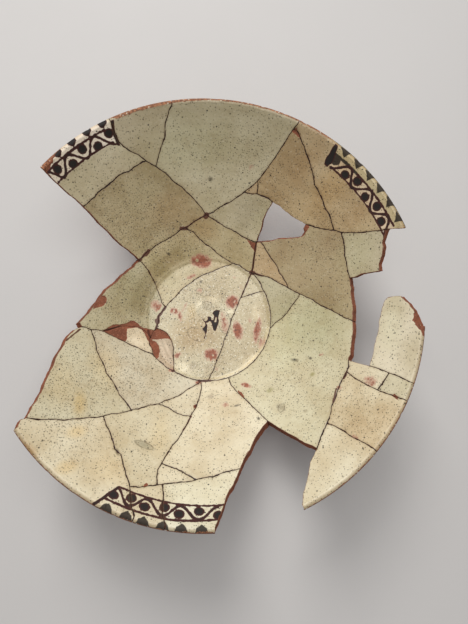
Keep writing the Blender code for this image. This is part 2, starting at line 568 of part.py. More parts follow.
def main():
    for old in list(bpy.data.objects):
        bpy.data.objects.remove(old, do_unlink=True)
    axis = bpy.data.objects.new("bowl_axis", None)
    bpy.context.scene.collection.objects.link(axis)
    materials = {tone: make_material("glaze_" + tone, colour, 0.32)
                 for tone, colour in GLAZES.items()}
    materials["clay"] = make_material("red_clay", CLAY, 0.85)
    lines = build_lines()
    for name, (tone, corners) in SHERDS.items():
        build_sherd(name, tone, corners.split(), lines, materials, axis)


main()
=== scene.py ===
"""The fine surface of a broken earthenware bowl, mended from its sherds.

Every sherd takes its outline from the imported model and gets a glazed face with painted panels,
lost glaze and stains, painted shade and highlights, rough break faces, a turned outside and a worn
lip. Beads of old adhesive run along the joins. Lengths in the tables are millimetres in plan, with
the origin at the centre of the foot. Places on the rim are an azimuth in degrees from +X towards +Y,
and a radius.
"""

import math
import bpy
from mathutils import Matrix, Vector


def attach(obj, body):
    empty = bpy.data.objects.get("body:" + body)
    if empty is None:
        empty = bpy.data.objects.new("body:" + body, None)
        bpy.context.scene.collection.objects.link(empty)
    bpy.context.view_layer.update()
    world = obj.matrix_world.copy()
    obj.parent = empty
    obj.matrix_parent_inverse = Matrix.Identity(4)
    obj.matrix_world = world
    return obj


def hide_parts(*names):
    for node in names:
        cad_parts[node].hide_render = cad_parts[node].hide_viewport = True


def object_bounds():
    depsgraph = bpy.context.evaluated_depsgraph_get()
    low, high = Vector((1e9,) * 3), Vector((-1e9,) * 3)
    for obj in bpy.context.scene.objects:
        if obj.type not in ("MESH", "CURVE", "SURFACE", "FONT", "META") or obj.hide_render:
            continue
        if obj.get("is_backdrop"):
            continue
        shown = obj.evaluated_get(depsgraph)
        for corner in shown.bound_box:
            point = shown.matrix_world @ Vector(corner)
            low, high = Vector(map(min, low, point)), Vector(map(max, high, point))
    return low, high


bl_info = {
    "name": "Mended Earthenware Bowl",
    "version": (1, 0, 0),
    "blender": (4, 5, 0),
    "location": "3D View > Sidebar > Bowl",
    "description": "Builds the sherds, the adhesive and the stage of a mended earthenware bowl",
    "category": "Add Mesh",
}

import bmesh
import bpy
import numpy as np
from bpy.props import FloatProperty, FloatVectorProperty, PointerProperty
from mathutils import Quaternion, Vector
from mathutils.geometry import delaunay_2d_cdt

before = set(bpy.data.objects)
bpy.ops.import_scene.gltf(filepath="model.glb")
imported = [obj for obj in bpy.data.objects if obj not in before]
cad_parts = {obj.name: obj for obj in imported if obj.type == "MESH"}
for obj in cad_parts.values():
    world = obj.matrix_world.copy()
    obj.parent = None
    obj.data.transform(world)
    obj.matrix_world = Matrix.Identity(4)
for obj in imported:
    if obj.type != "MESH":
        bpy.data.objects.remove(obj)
CAD_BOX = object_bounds()
MM = 0.001

# ---------------------------------------------------------------- the turned shape, mm and degrees
RIM_RADIUS = 160.0
HEIGHT = 100.0
RIM_SLOPE = math.radians(53.7)
RIM_THICKNESS = 5.0
LIP_RISE = 2.0
FLOOR_HEIGHT = 12.0
WELL_RADIUS = 56.3
WELL_FLAT_RADIUS = 52.5
WELL_STEP = 2.0
WALL_THICKNESS = 7.5
THINNING_STARTS = 95.0
FOOT_RADIUS = 50.5
FOOT_TOP_RADIUS = 52.0
FOOT_STEP = 4.5
CLAY_BEND_ENDS = 62.0

# ---------------------------------------------------------------- how finely the sherds are cut
# Steps are the distances between points, in mm. Through shares are where the rings of points on a
# sherd's edge lie, from the glazed face to the outer one.
EDGE_STEP = 0.8
GLAZE_STEP = 1.5
OUTSIDE_STEP = 3.2
WELL_EDGE_STEP = 0.9
FINE_STEP = 0.5
ROW_SHARE = 0.866
INSET_ROWS = (0.3, 0.85)
THROUGH_SHARES = (0.05, 0.15, 0.3, 0.47, 0.65, 0.84, 1.0)
PAINT_ENDS_SHARE = 0.7
LIP_GLAZE_ENDS = math.radians(35.0)
SHARP_ANGLE = math.radians(48.0)
GLAZED, BROKEN, OUTSIDE = 0, 1, 2

# How near counts as joined, or as lying on a packed surface; how deep a bead lies; the distance
# that stands for nowhere near; and how many points are compared with an outline at once.
JOIN_REACH = 0.75
ON_SURFACE = 0.05
BEAD_DEPTH = 0.4
BEAD_RADIUS = 0.34 * MM
BEAD_SIDES = 6
FAR = 9.0
CHUNK = 4000

# ---------------------------------------------------------------- the stage, in metres
# Lights: name, place, size and share of the key light's power.
LIGHTS = (("key_light", (-0.35, 1.25, 1.45), 0.8, 1.0), ("soft_top_light", (0.1, 0.2, 1.7), 1.4, 0.6))
FLOOR_HALF_SIZE = 3.0
CAMERA_PLACE = (-0.00298, -0.07509, 0.42895)
CAMERA_AXIS = (0.9511, -0.3090, 0.0)
CAMERA_TURN = 0.20077
CAMERA_LENS = 27.06
CAMERA_NEAR = 0.01

# ---------------------------------------------------------------- painted panels on the rim
# Azimuths are in degrees and radii in mm. A wave turns at each of the turns, by turns at its
# outer and its inner radius: first is 1 where it starts at the outer one. A dot sits in the bay
# behind each turn numbered in dots. One tooth, given about its own azimuth, is repeated at every
# one of the teeth. Rails are (layer, thickness, places), and the bar closes the panel's end.
STRONG, WORN = 0, 1
WAVE_THICKNESS = 1.6
DOT_HALF_LENGTH = 3.8
DOT_HALF_HEIGHT = 2.3
DOT_INSET = 2.1
PANELS = [
    {
        "rails": [(STRONG, 1.0, [(142.2, 147), (122.5, 147), (119.7, 144.8)]),
                  (STRONG, 1.2, [(142.2, 153.8), (121.6, 153.8)])],
        "bar": [(118, 156.5), (119, 156.5), (120.2, 150), (120.2, 144), (119.3, 144), (119.3, 150)],
        "wave": (146.6, 153.6), "first": 1, "turns": (142, 139.3, 134.8, 130, 125.6, 121),
        "dots": {1: STRONG, 2: STRONG, 3: STRONG, 4: STRONG, 5: STRONG},
        "tooth": [(-1.4, 161), (-1.3, 156.5), (0.2, 154.4), (1.2, 156), (1.4, 160.5)],
        "teeth": (136.3, 131.3, 126.3, 121.4), "teeth_layer": STRONG,
    },
    {
        "rails": [(STRONG, 0.9, [(49, 146.4), (21, 146.4)]), (STRONG, 1.0, [(41, 152.7), (22, 152.7)]),
                  (WORN, 1.2, [(50, 152.7), (41, 152.7)]), (WORN, 1.1, [(52, 159.5), (20, 159.5)])],
        "bar": [(50.5, 157.2), (51.6, 157.2), (51.4, 151.5), (51.5, 148.5), (50.8, 145.4),
                (49.5, 145.4), (48.9, 148.5), (49.5, 152)],
        "wave": (146.2, 152.6), "first": -1, "turns": (48.6, 43.5, 39.4, 34.3, 29.8, 25.3, 20.3),
        "dots": {0: WORN, 1: STRONG, 2: STRONG, 3: STRONG, 4: STRONG, 5: STRONG},
        "tooth": [(1.9, 157.8), (-1.7, 159.8), (-0.7, 153.9)],
        "teeth": (47.8, 42.9, 38.2, 33.5, 28.6, 23.7), "teeth_layer": WORN,
    },
    {
        "rails": [(STRONG, 1.1, [(-115, 144.9), (-83, 144.9)]),
                  (STRONG, 1.2, [(-116.3, 152.9), (-100, 153.1), (-83, 151.6)]),
                  (WORN, 0.9, [(-118, 159.5), (-88, 159.4)])],
        "bar": [(-118.9, 159.5), (-118, 159.5), (-116.4, 152.5), (-114.4, 144.6), (-115.3, 144.6),
                (-117.3, 152.5)],
        "wave": (145.6, 151.9), "first": -1,
        "turns": (-115.2, -110.6, -106.6, -101.6, -97.5, -92.4, -87.4),
        "dots": {0: STRONG, 1: STRONG, 2: STRONG, 3: STRONG, 4: STRONG, 5: STRONG, 6: STRONG},
        "tooth": [(-1.7, 161), (-1.2, 156), (0, 154.1), (1.2, 156), (1.8, 160.5)],
        "teeth": (-115, -110, -105.8, -101, -96.5, -91.6), "teeth_layer": WORN,
    },
]
PANEL_SPANS = ((116.0, 143.0), (19.0, 53.0), (-120.0, -83.0))
PANEL_INNER = 143.8

# ---------------------------------------------------------------- the worn motif in the well
MOTIF = [(4.7, 6.5), (7.5, 7.6), (9.5, 7.2), (11.0, 6.4), (9.9, 5.9), (9.6, 3.0), (9.2, 0.0),
         (9.5, -1.6), (9.3, -4.0), (8.8, -6.2), (7.8, -9.2), (7.0, -11.2), (6.0, -12.1),
         (4.8, -11.3), (4.0, -9.5), (3.4, -7.0), (3.0, -5.0), (2.2, -3.3), (1.0, -3.1),
         (0.0, -3.9), (-1.5, -4.1), (-2.0, -5.0), (-1.0, -6.2), (-0.8, -8.2), (-1.0, -10.0),
         (-1.1, -12.2), (-2.0, -14.6), (-2.6, -17.2), (-3.2, -19.0), (-4.0, -19.2),
         (-4.2, -18.3), (-3.4, -16.8), (-2.8, -15.0), (-2.8, -13.0), (-4.0, -11.6),
         (-5.4, -10.4), (-5.0, -9.4), (-3.5, -7.8), (-2.5, -6.5), (-3.1, -4.3), (-4.2, -3.0),
         (-6.3, 0.3), (-5.0, -0.7), (-3.8, -2.4), (-2.5, -2.9), (-1.3, -2.4), (-0.3, -1.0),
         (-0.8, 1.0), (0.2, 1.5), (1.6, 1.2), (2.6, 0.9), (3.0, -1.6), (4.6, -1.9),
         (5.0, 0.0), (5.2, 2.0), (4.6, 3.4), (3.8, 4.0)]
MOTIF_EYE = [(5.6, -3.6), (6.0, -1.2), (6.9, 0.9), (7.5, 0.1), (7.3, -2.0), (7.0, -3.8)]
MOTIF_BOX = (-8.0, 12.5, -21.0, 9.5)

# Bands that differ: first and last azimuth, inner and outer radius, softness, and gain. The first four
# are bands of slip at the painted panels. Then come painted shade in a dark crescent on the wall at
# the well's upper left, a painted pool of light on the well floor beside it, a painted highlight on
# the lit step at the well's lower right, and painted shade that darkens the whole lip where it faces
# the light. The last is a darker band on the lip at the north.
BANDS = [
    (119.6, 142.5, 146.6, 161.5, 0.8, (1.5, 1.5, 1.8)), (21.0, 50.2, 146.6, 152.6, 0.8, (1.35, 1.4, 1.65)),
    (21.0, 50.2, 152.6, 161.5, 0.8, (1.05, 1.12, 1.1)), (-116.0, -84.0, 144.8, 161.5, 0.8, (1.0, 1.02, 1.06)),
    # Painted shade on the wall at the well's upper left, and painted light on the well floor beside it.
    (112.0, 176.0, 57.0, 70.0, 9.0, (0.74, 0.70, 0.60)), (104.0, 180.0, 38.0, 54.5, 6.0, (1.06, 1.10, 1.16)),
    # A painted highlight on the well's lower right step, and painted shade all round the lip.
    (-84.0, -8.0, 53.4, 56.0, 1.6, (1.4, 1.42, 1.46)), (-190.0, 190.0, 156.4, 170.0, 1.2, (0.72, 0.66, 0.58)),
    (54.0, 118.0, 155.8, 170.0, 1.0, (0.80, 0.76, 0.74)),
]

# Where the lip's glaze is worn through: azimuth, and the radius outside which the clay is bare.
LIP_WEAR = [(-180, 158.9), (-145, 158.6), (-120, 158.6), (-117, 158.9), (-96.2, 158.8),
            (-95.5, 157.9), (-93.3, 158.9), (-92.4, 158.0), (-89.6, 157.9), (-88.4, 158.6),
            (-66, 158.9), (-50, 158.4), (-28, 158.4), (-8, 158.9), (19, 160.3), (52, 160.3),
            (54, 157.5), (88, 157.2), (101, 156.2), (117, 155.8), (119.5, 160.0), (133, 160.0),
            (138, 157.6), (143, 153.6), (180, 158.9)]

# How far flakes, and stains and crowds, fade out past the sizes in their tables.
FLAKE_SPREAD = 1.25
SOFT_SPREAD = 1.3

# ---------------------------------------------------------------- glaze that has come away
SPALLS = [
    [(-88, -15.5), (-84, -11), (-80, -9), (-75, -8), (-71, -6.5), (-68, -4.5), (-65, -4), (-62, -6),
     (-60, -8.5), (-57, -10), (-54, -10), (-48.5, -11.5), (-46, -9.5), (-42, -11), (-38, -13),
     (-34.5, -16.5), (-32.5, -20.5), (-36, -18.5), (-40, -19), (-45, -19.5), (-50, -20),
     (-46, -22), (-44, -25), (-43, -30), (-43, -35), (-45, -37), (-48, -33), (-50, -27),
     (-53.5, -20), (-55.5, -16), (-58, -12), (-62, -10), (-66, -10.5), (-70, -12), (-70, -23),
     (-73, -22.5), (-80, -19.5)],
    [(80, 66), (83, 67.5), (86.5, 73), (85, 74.5), (82, 75.5), (80.5, 71)],
    [(34, 70), (42.5, 66.5), (42, 59), (40, 61.5)],
    [(64, 137), (68, 138.2), (71.5, 134), (72, 131.8), (69, 134)],
    [(154.5, -8), (152.3, -10), (151, -16), (153, -21), (155, -28.5), (159, -28.5), (159, -8)],
    [(-96, 2), (-93, 3.7), (-89.5, 5.5), (-86.8, 9), (-86.5, 12.5), (-88, 15.4), (-91, 14.5), (-96, 8)],
    [(-128.5, 92), (-124, 91.5), (-119.5, 97.5), (-115.2, 106.3), (-118.5, 108.5), (-129, 99)],
    [(132.5, -71), (134, -69.2), (135, -70.6), (137, -71), (135.3, -72.2), (134.6, -74)],
    [(26, -64.6), (28, -66.2), (31, -70), (30.2, -71.8), (27.4, -68.4), (25.3, -66)],
    [(-12, -77), (-9.8, -76.2), (-8.8, -78.2), (-10.5, -79.8), (-12, -78.8)],
    [(-45.8, -131), (-43.5, -130.4), (-42, -131.5), (-42.5, -133), (-45, -132.8)],
]
SPALL_DEPTH = 0.6

# Where the dark specks crowd together: x, y, half sizes, turn and how much.
CROWDS = [(-62, 66, 40, 34, 30, 0.6), (-72, 14, 26, 34, 0, 0.65), (-104, -62, 22, 26, 0, 0.5),
          (-20, 72, 22, 16, -20, 0.4), (60, 92, 14, 36, 20, 0.45), (100, 66, 16, 30, 0, 0.45),
          (-5, 20, 26, 22, 0, 0.4), (-4, -44, 22, 14, 0, 0.5), (-62, -52, 34, 22, 0, 0.45),
          (-98, -98, 20, 20, 0, 0.4), (75, -35, 30, 50, 0, 0.2), (116, -84, 16, 22, 30, 0.3),
          (10, 128, 40, 14, 0, 0.2)]
CROWD_BASE = 0.4

# Worn red patches: x, y, half sizes, turn in degrees, and how bare the clay is.
FLAKES = [
    (22, 15.0, 6.8, 6.4, 20, 1.0), (26.8, -11, 4.6, 9.0, 8, 0.95), (44, -11, 3.4, 13, -12, 0.8),
    (3, -33, 6.8, 6.0, 10, 0.95), (-6.5, 52.5, 10.5, 6.5, -8, 1.0), (-16, 38.2, 5.2, 2.0, 24, 0.75),
    (-47.5, 11, 4.5, 6, 10, 0.62), (-44.5, 10, 3, 5, -30, 0.75), (-31, 6, 4.5, 3.4, -20, 0.75),
    (-25.5, 2, 2.6, 5.5, 12, 0.72), (-21, 10.5, 1.6, 7, -28, 0.5), (14.5, -4, 4.4, 10.5, 8, 0.6),
    (-27, -33.5, 3.8, 2.6, 30, 0.85), (48, -22, 3.2, 6.5, -18, 0.55), (24, 38, 2.4, 1.8, 0, 0.5),
    (32.5, -60.3, 4.8, 2.2, -16, 0.95), (123, -59.5, 4.4, 4.6, 0, 0.66), (14.5, -77, 3.2, 2.4, 0, 0.62),
    (-8, 25, 3.4, 3.0, 0, 0.45), (103, -64, 2.2, 1.8, 0, 0.7), (105.5, -100, 2.0, 1.6, 0, 0.7),
    (94, -36, 2.2, 1.6, 0, 0.6), (-8.5, -57.5, 4, 2.2, 0, 0.7),
    (35.5, 120, 3.4, 2.6, 0, 0.35), (30, 28, 2, 4, 0, 0.4),
    (8, -46, 3, 2, 0, 0.45), (38, -2, 2, 4, 0, 0.4), (-32, -47, 3, 2, 0, 0.6),
]

# Painted glints: lighter dots inside worn patches, where the glaze's colour is kept. x, y and radius.
FLAKE_GLINTS = [(23.5, 15.0, 1.2), (4.0, -33.5, 1.2), (-10.5, 53.5, 1.6), (-31, 6, 1.1)]

# Thin dark outlines left on the glaze: x, y, half sizes and turn.
OVALS = [(-48.5, -106.3, 7.4, 1.9, -23), (-1.5, 11.5, 4.6, 3.7, 0), (59.5, -79.5, 2.2, 3.6, -25),
         (-8, 25, 3.4, 2.8, 0), (14, -3, 5.6, 11.5, 12), (-10, -15, 9, 5.5, -25)]

# How much some sherds' colours are multiplied, lighter or darker than their tone.
SHERD_GAINS = {
    "wall_sherd_north": (0.93, 0.90, 0.86),
    "rim_sherd_west": (1.17, 1.15, 1.16), "rim_sherd_northwest": (1.02, 0.97, 0.95),
    "rim_sherd_north": (1.05, 1.04, 1.03), "rim_sherd_northeast": (1.07, 1.1, 1.12),
    "wall_wedge_northeast": (0.93, 0.92, 0.87), "wall_sherd_northwest": (0.92, 0.89, 0.86),
    "wall_sherd_above_well": (0.98, 0.96, 0.92), "wall_sherd_beside_well": (1.08, 1.06, 1.05),
    "wall_sherd_northeast": (0.82, 0.86, 0.80), "wall_sherd_east": (0.95, 0.92, 0.90),
    "wall_wedge_east": (0.96, 0.97, 0.95), "wall_sherd_southeast": (0.88, 0.91, 0.87),
    "wall_sherd_south": (0.92, 0.92, 0.90), "wall_sherd_southwest": (0.86, 0.87, 0.90),
    "wall_sherd_outer_west": (0.86, 0.88, 0.86), "wall_wedge_south": (0.94, 0.94, 0.94),
    "rim_sherd_arm": (1.28, 1.27, 1.36), "rim_patch_east": (1.14, 1.14, 1.15),
    "rim_sherd_southeast": (1.38, 1.6, 1.9), "well_patch_west": (0.88, 0.90, 0.97),
    "rim_sherd_tip": (1.03, 1.05, 1.07), "rim_sherd_south": (1.02, 1.06, 1.08),
    "wall_tongue_west": (0.98, 0.94, 0.94), "wall_sherd_west": (0.97, 1.01, 1.06),
}

# Stains, with some painted shade and painted highlights among them: x, y, half sizes, turn, colour
# name and strength. The small ones need a finely cut surface.
STAINS_AND_PAINTED_LIGHT = [
    (-1.5, 11.5, 4.2, 3.3, 0, "grey", 0.55), (-15, 6, 3.5, 6.5, 0, "ochre", 0.6),
    (-13, -43, 4, 2.6, 0, "grey", 0.75), (2, -70, 2.8, 1.8, 0, "grey", 0.8),
    (24, -77.5, 2.6, 0.8, 15, "black", 0.9), (52, -65, 3.2, 1.7, 30, "olive", 1.0),
    (74, -39.5, 3, 1.4, -10, "black", 0.8), (86, -52.5, 2.2, 1.4, 40, "olive", 1.0),
    (59, -79, 3, 2.6, 0, "grey", 0.9), (77, -82, 2, 1.4, 0, "grey", 0.6),
    (-48.5, -106.3, 7.2, 2.0, -23, "slate", 0.75), (-118.5, -105, 7.5, 3.0, -42, "brown", 1.0),
    (-97, -75, 4, 9, 10, "ochre", 0.8), (-95, -95, 6, 4, 0, "ochre", 0.6),
    (-95, -117, 6, 4, 0, "ochre", 0.6), (-83, -45, 10, 16, 20, "ochre", 0.45),
    (-66.5, -110, 2.6, 1.1, -60, "black", 0.9), (41, -88, 1.3, 1.2, 0, "black", 1.0),
    (86, -38.7, 1.2, 1.2, 0, "black", 1.0), (-36, 57, 1.4, 1.2, 0, "black", 1.0),
    (-7, 33.5, 1.3, 1.2, 0, "black", 0.9), (1, 114, 2.0, 1.4, 0, "black", 0.8),
    (78, 116, 9, 14, -35, "brown", 0.45), (100, 98, 12, 20, -40, "ochre", 0.4),
    (120, 75, 8, 10, 0, "brown", 0.35), (112, -98, 12, 16, -40, "brown", 0.45),
    (128, -84, 8, 10, -30, "brown", 0.4), (60, 50, 16, 8, 30, "brown", 0.25),
    (-33, 92, 20, 12, 25, "brown", 0.6), (-55, 100, 22, 10, 40, "olive", 0.2),
    # Painted shade: these two olive patches darken the wall beside the well's upper left.
    (-70, 25, 14, 22, 25, "olive", 0.35), (-20, 60, 26, 10, -10, "olive", 0.3),
    (35, 90, 14, 12, 0, "grey", 0.4), (-12, -14, 19, 16, 0, "brown", 0.85),
    (-6, 80, 15, 9, -30, "brown", 0.75),
    (65, -20, 14, 30, 0, "green", 0.35), (92, -8, 22, 30, 0, "drab", 1.0),
    (120, 45, 12, 18, 0, "green", 0.4), (-20, 133, 46, 16, 5, "green", 0.35),
    (48, 84, 10, 8, 0, "green", 0.3), (-110, -60, 8, 18, 10, "ochre", 0.3),
    (-70, -120, 14, 8, -30, "ochre", 0.3), (-38, -100, 8, 14, 0, "ochre", 0.3),
    # The pale patch at -22, -44 is a painted highlight on the glossy well.
    (140, -18, 6, 20, -10, "green", 0.3), (-22, -44, 9, 5, -10, "pale", 1.0),
    # Painted highlights on the glossy well floor.
    (4, 17, 6, 3, 0, "pale", 0.9), (-8, 13, 4, 2.4, 40, "pale", 0.9), (20, 6, 5, 2, 0, "pale", 0.9),
    # The pale patches at 36, -38 and 44, 4 are painted highlights on the well; the long pale streaks from
    # -40, -30 on lie on the worn patch west of it.
    (36, -38, 9, 3, 40, "pale", 0.9), (44, 4, 4, 8, 10, "pale", 0.7), (-40, -30, 1.6, 9, 24, "pale", 1.0),
    (-36, -28, 1.4, 8, 24, "pale", 1.0), (-36, -40, 8, 6, 0, "pale", 0.5),
    # The olive patch at -46, 46 is painted shade on the wall beside the well's upper left.
    (-61, -22, 6, 5, 0, "pale", 0.4), (-46, 46, 9, 22, 42, "olive", 0.45),
]
SMALL_STAIN = 2.0
STAIN_COLOURS = {
    "grey": (0.62, 0.60, 0.58), "slate": (0.50, 0.52, 0.50), "ochre": (1.0, 0.84, 0.58),
    "olive": (0.62, 0.62, 0.44), "brown": (0.78, 0.64, 0.48), "black": (0.16, 0.15, 0.13),
    "green": (0.91, 0.98, 0.84), "drab": (0.80, 0.82, 0.74), "pale": (1.36, 1.38, 1.44),
}

# Old adhesive that has spread over the glaze: width, then places.
SMEARS = [
    (2.3, [(-38.5, 10), (-41, 6), (-44.5, 1), (-45, -4), (-46.5, -9.5)]), (4.4, [(-45.5, -3), (-45.2, -4)]),
    (1.8, [(-61, 49), (-55, 56)]), (3.0, [(-62, 48.5), (-60, 49.5)]), (2.6, [(-55.5, 54), (-53, 58)]),
    (4.6, [(-2.8, 88.6), (-2.2, 89.4)]), (2.6, [(-25, 78), (-20, 78.5)]),
    (1.2, [(-2.5, 89), (-8, 87), (-13, 84), (-17.5, 81), (-21, 79)]),
    (3.8, [(39, 42), (41, 41.5)]), (1.8, [(40, 42), (50, 38)]),
    (1.6, [(43, 67), (42, 60), (41, 52), (40.3, 46), (39.5, 42)]),
    (1.2, [(39.5, 42), (36, 34), (33, 27), (29.5, 19)]), (2.0, [(-8, -56.4), (2, -56)]),
    (2.6, [(-30.8, -47.8), (-30, -47.2)]), (1.4, [(-88, -15.5), (-82, -12.5), (-76, -10)]),
    (1.8, [(-53.5, -12), (-51, -18)]), (1.2, [(-14, -86), (-17, -92), (-20, -97)]),
    (1.4, [(110.2, -50.5), (107, -57)]), (1.2, [(101, -65), (97, -76)]),
    (1.3, [(-104, -16), (-112, -26)]), (2.2, [(-10.6, -78), (-10.0, -77)]),
]

# ---------------------------------------------------------------- glaze tones, as display colours
# Each has its light and its dark colour.
TONES = {
    "cream": ((228, 216, 186), (206, 188, 152)),
    "sage": ((204, 194, 164), (184, 172, 138)),
    "tan": ((198, 174, 136), (172, 144, 104)),
    "olive": ((198, 184, 148), (170, 152, 112)),
    "gloss": ((206, 194, 162), (185, 168, 132)),
    "pink": ((200, 178, 144), (178, 150, 116)),
}

# Heights between which the outside's slip and its worn lip come in, and the wheel marks' scale.
OUTSIDE_SLIP_STARTS = (72.0 * MM, 74.0 * MM)
OUTSIDE_LIP_STARTS = (94.8 * MM, 96.2 * MM)
WHEEL_MARK_SCALE = 95.0


def linear(*display):
    """A colour for the shader from display values of 0 to 255."""
    shares = [value / 255.0 for value in display]
    return tuple(s / 12.92 if s <= 0.04045 else ((s + 0.055) / 1.055) ** 2.4 for s in shares)


# ---------------------------------------------------------------- settings a user would change
class BowlSherdSettings(bpy.types.PropertyGroup):
    edge_wander: FloatProperty(
        name="Edge Wander", description="How far a break strays from its packed line",
        default=0.22 * MM, min=0.0, max=0.4 * MM, unit="LENGTH")
    break_relief: FloatProperty(
        name="Break Relief", description="How rough the broken faces are",
        default=0.45 * MM, min=0.0, max=1.5 * MM, unit="LENGTH")
    clay_colour: FloatVectorProperty(
        name="Clay", description="Colour of the fired red clay", subtype="COLOR",
        default=linear(152, 88, 60), min=0.0, max=1.0)
    paint_colour: FloatVectorProperty(
        name="Paint", description="Colour of the painted panels", subtype="COLOR",
        default=linear(34, 27, 23), min=0.0, max=1.0)


class BowlAdhesiveSettings(bpy.types.PropertyGroup):
    bead_radius: FloatProperty(
        name="Bead Radius", description="Radius of the adhesive that fills a join",
        default=BEAD_RADIUS, min=0.1 * MM, max=1.0 * MM, unit="LENGTH")
    colour: FloatVectorProperty(
        name="Adhesive", description="Colour of the old adhesive", subtype="COLOR",
        default=linear(42, 24, 14), min=0.0, max=1.0)


class BowlStageSettings(bpy.types.PropertyGroup):
    floor_colour: FloatVectorProperty(
        name="Floor", description="Colour of the floor", subtype="COLOR",
        default=linear(200, 196, 192), min=0.0, max=1.0)
    key_power: FloatProperty(
        name="Key Light", description="Power of the large light above the rim",
        default=22.0, min=0.0, unit="POWER")
    fill_strength: FloatProperty(
        name="Fill", description="Strength of the even light from all round",
        default=0.29, min=0.0)


# ---------------------------------------------------------------- plan tools
def smoothstep(value, low, high):
    """0 at the low value and 1 at the high one, which may lie the other way round."""
    share = np.clip((value - low) / (high - low), 0.0, 1.0)
    return share * share * (3.0 - 2.0 * share)


def within(value, low, high, soft):
    """1 between two values and 0 outside them, with ends that are soft over a width."""
    reach = soft / 2.0
    rising = smoothstep(value, low - reach, low + reach)
    return rising * smoothstep(value, high + reach, high - reach)


def plan_radius(points):
    """Distance of each point from the bowl's axis."""
    return np.hypot(points[:, 0], points[:, 1])


# ---------------------------------------------------------------- the turned shape
def lip_geometry():
    """Centre of the rounded lip, and the inner edge where the lip begins, as (radius, height)."""
    half = RIM_THICKNESS / 2.0
    centre = (RIM_RADIUS - math.hypot(LIP_RISE * math.cos(RIM_SLOPE), half * math.sin(RIM_SLOPE)),
              HEIGHT - math.hypot(LIP_RISE * math.sin(RIM_SLOPE), half * math.cos(RIM_SLOPE)))
    edge = (centre[0] - half * math.sin(RIM_SLOPE), centre[1] + half * math.cos(RIM_SLOPE))
    return centre, edge


LIP_CENTRE, RIM_EDGE = lip_geometry()


def wall_arc():
    """Centre and radius of the arc that the glazed wall follows."""
    start = (WELL_RADIUS, FLOOR_HEIGHT + WELL_STEP)
    run, rise = RIM_EDGE[0] - start[0], RIM_EDGE[1] - start[1]
    start_slope = 2.0 * math.atan2(rise, run) - RIM_SLOPE
    radius = math.hypot(run, rise) / (2.0 * math.sin((RIM_SLOPE - start_slope) / 2.0))
    return (start[0] - radius * math.sin(start_slope), start[1] + radius * math.cos(start_slope)), radius


ARC_CENTRE, ARC_RADIUS = wall_arc()


def inner_height(radius):
    """Height of the glazed face at a plan radius."""
    floor = FLOOR_HEIGHT + WELL_STEP * smoothstep(radius, WELL_FLAT_RADIUS, WELL_RADIUS)
    out = np.maximum(radius, WELL_RADIUS) - ARC_CENTRE[0]
    return np.where(radius < WELL_RADIUS, floor, ARC_CENTRE[1] - np.sqrt(ARC_RADIUS ** 2 - out ** 2))


def wall_slope(radius):
    """Slope of the wall, which eases to flat over the foot."""
    bend = math.asin((CLAY_BEND_ENDS - ARC_CENTRE[0]) / ARC_RADIUS)
    wall = np.arcsin((radius - ARC_CENTRE[0]) / ARC_RADIUS)
    return np.where(radius < CLAY_BEND_ENDS, bend * smoothstep(radius, FOOT_RADIUS, CLAY_BEND_ENDS), wall)


def thickness(radius):
    """Thickness of the pot, square to the wall, with the foot's disc counted in."""
    foot = FOOT_STEP * (1.0 - smoothstep(radius, FOOT_RADIUS, FOOT_TOP_RADIUS))
    share = np.clip((radius - THINNING_STARTS) / (RIM_EDGE[0] - THINNING_STARTS), 0.0, 1.0)
    wall = WALL_THICKNESS + foot + (RIM_THICKNESS - WALL_THICKNESS) * share
    return np.where(radius < FOOT_RADIUS, inner_height(radius), wall)


def wall_frame(plan):
    """Inner point, and the ways through the wall, up the wall and outwards, at each plan point."""
    radius = plan_radius(plan)
    slope = wall_slope(radius)
    safe = np.maximum(radius, 1e-6)[:, None]
    out = np.column_stack([plan / safe, np.zeros(len(plan))])
    up = np.array([0.0, 0.0, 1.0])
    inner = np.column_stack([plan, inner_height(radius)])
    through = out * np.sin(slope)[:, None] - up * np.cos(slope)[:, None]
    along = out * np.cos(slope)[:, None] + up * np.sin(slope)[:, None]
    return inner, through, along, out


def outer_places(plan):
    """Places on the outer face, straight through the wall from each plan point."""
    inner, through, _, _ = wall_frame(plan)
    return inner + through * thickness(plan_radius(plan))[:, None]


# ---------------------------------------------------------------- distances in plan
def polar_to_plan(places):
    """Plan points from (azimuth, radius) places."""
    azimuth, radius = np.radians([p[0] for p in places]), np.array([p[1] for p in places])
    return np.column_stack([radius * np.cos(azimuth), radius * np.sin(azimuth)])


def azimuth_radius(points):
    """Azimuth in degrees and radius of each point."""
    return np.degrees(np.arctan2(points[:, 1], points[:, 0])), plan_radius(points)


def noise(points, size, seed):
    """Smooth noise from -1 to 1, with features of about a size in mm."""
    grid = np.asarray(points) / size + 37.7 * seed
    cell = np.floor(grid).astype(np.int64)
    part = smoothstep(grid - cell, 0.0, 1.0)
    total = np.zeros(len(grid))
    for corner in np.ndindex((2,) * grid.shape[1]):
        key = cell + corner
        mixed = key[:, 0] * 73856093 ^ key[:, 1] * 19349663 ^ (seed + 11) * 83492791
        if grid.shape[1] == 3:
            mixed = mixed ^ key[:, 2] * 49979687
        mixed = (mixed ^ (mixed >> 13)) * 1274126177 & 0xFFFFFFFF
        value = ((mixed ^ (mixed >> 16)) & 0xFFFF) / 32767.5 - 1.0
        total += value * np.prod(np.where(corner, part, 1.0 - part), axis=1)
    return total


def chunks(points):
    """Slices that take all the points, a few at a time."""
    return [slice(first, first + CHUNK) for first in range(0, len(points), CHUNK)]


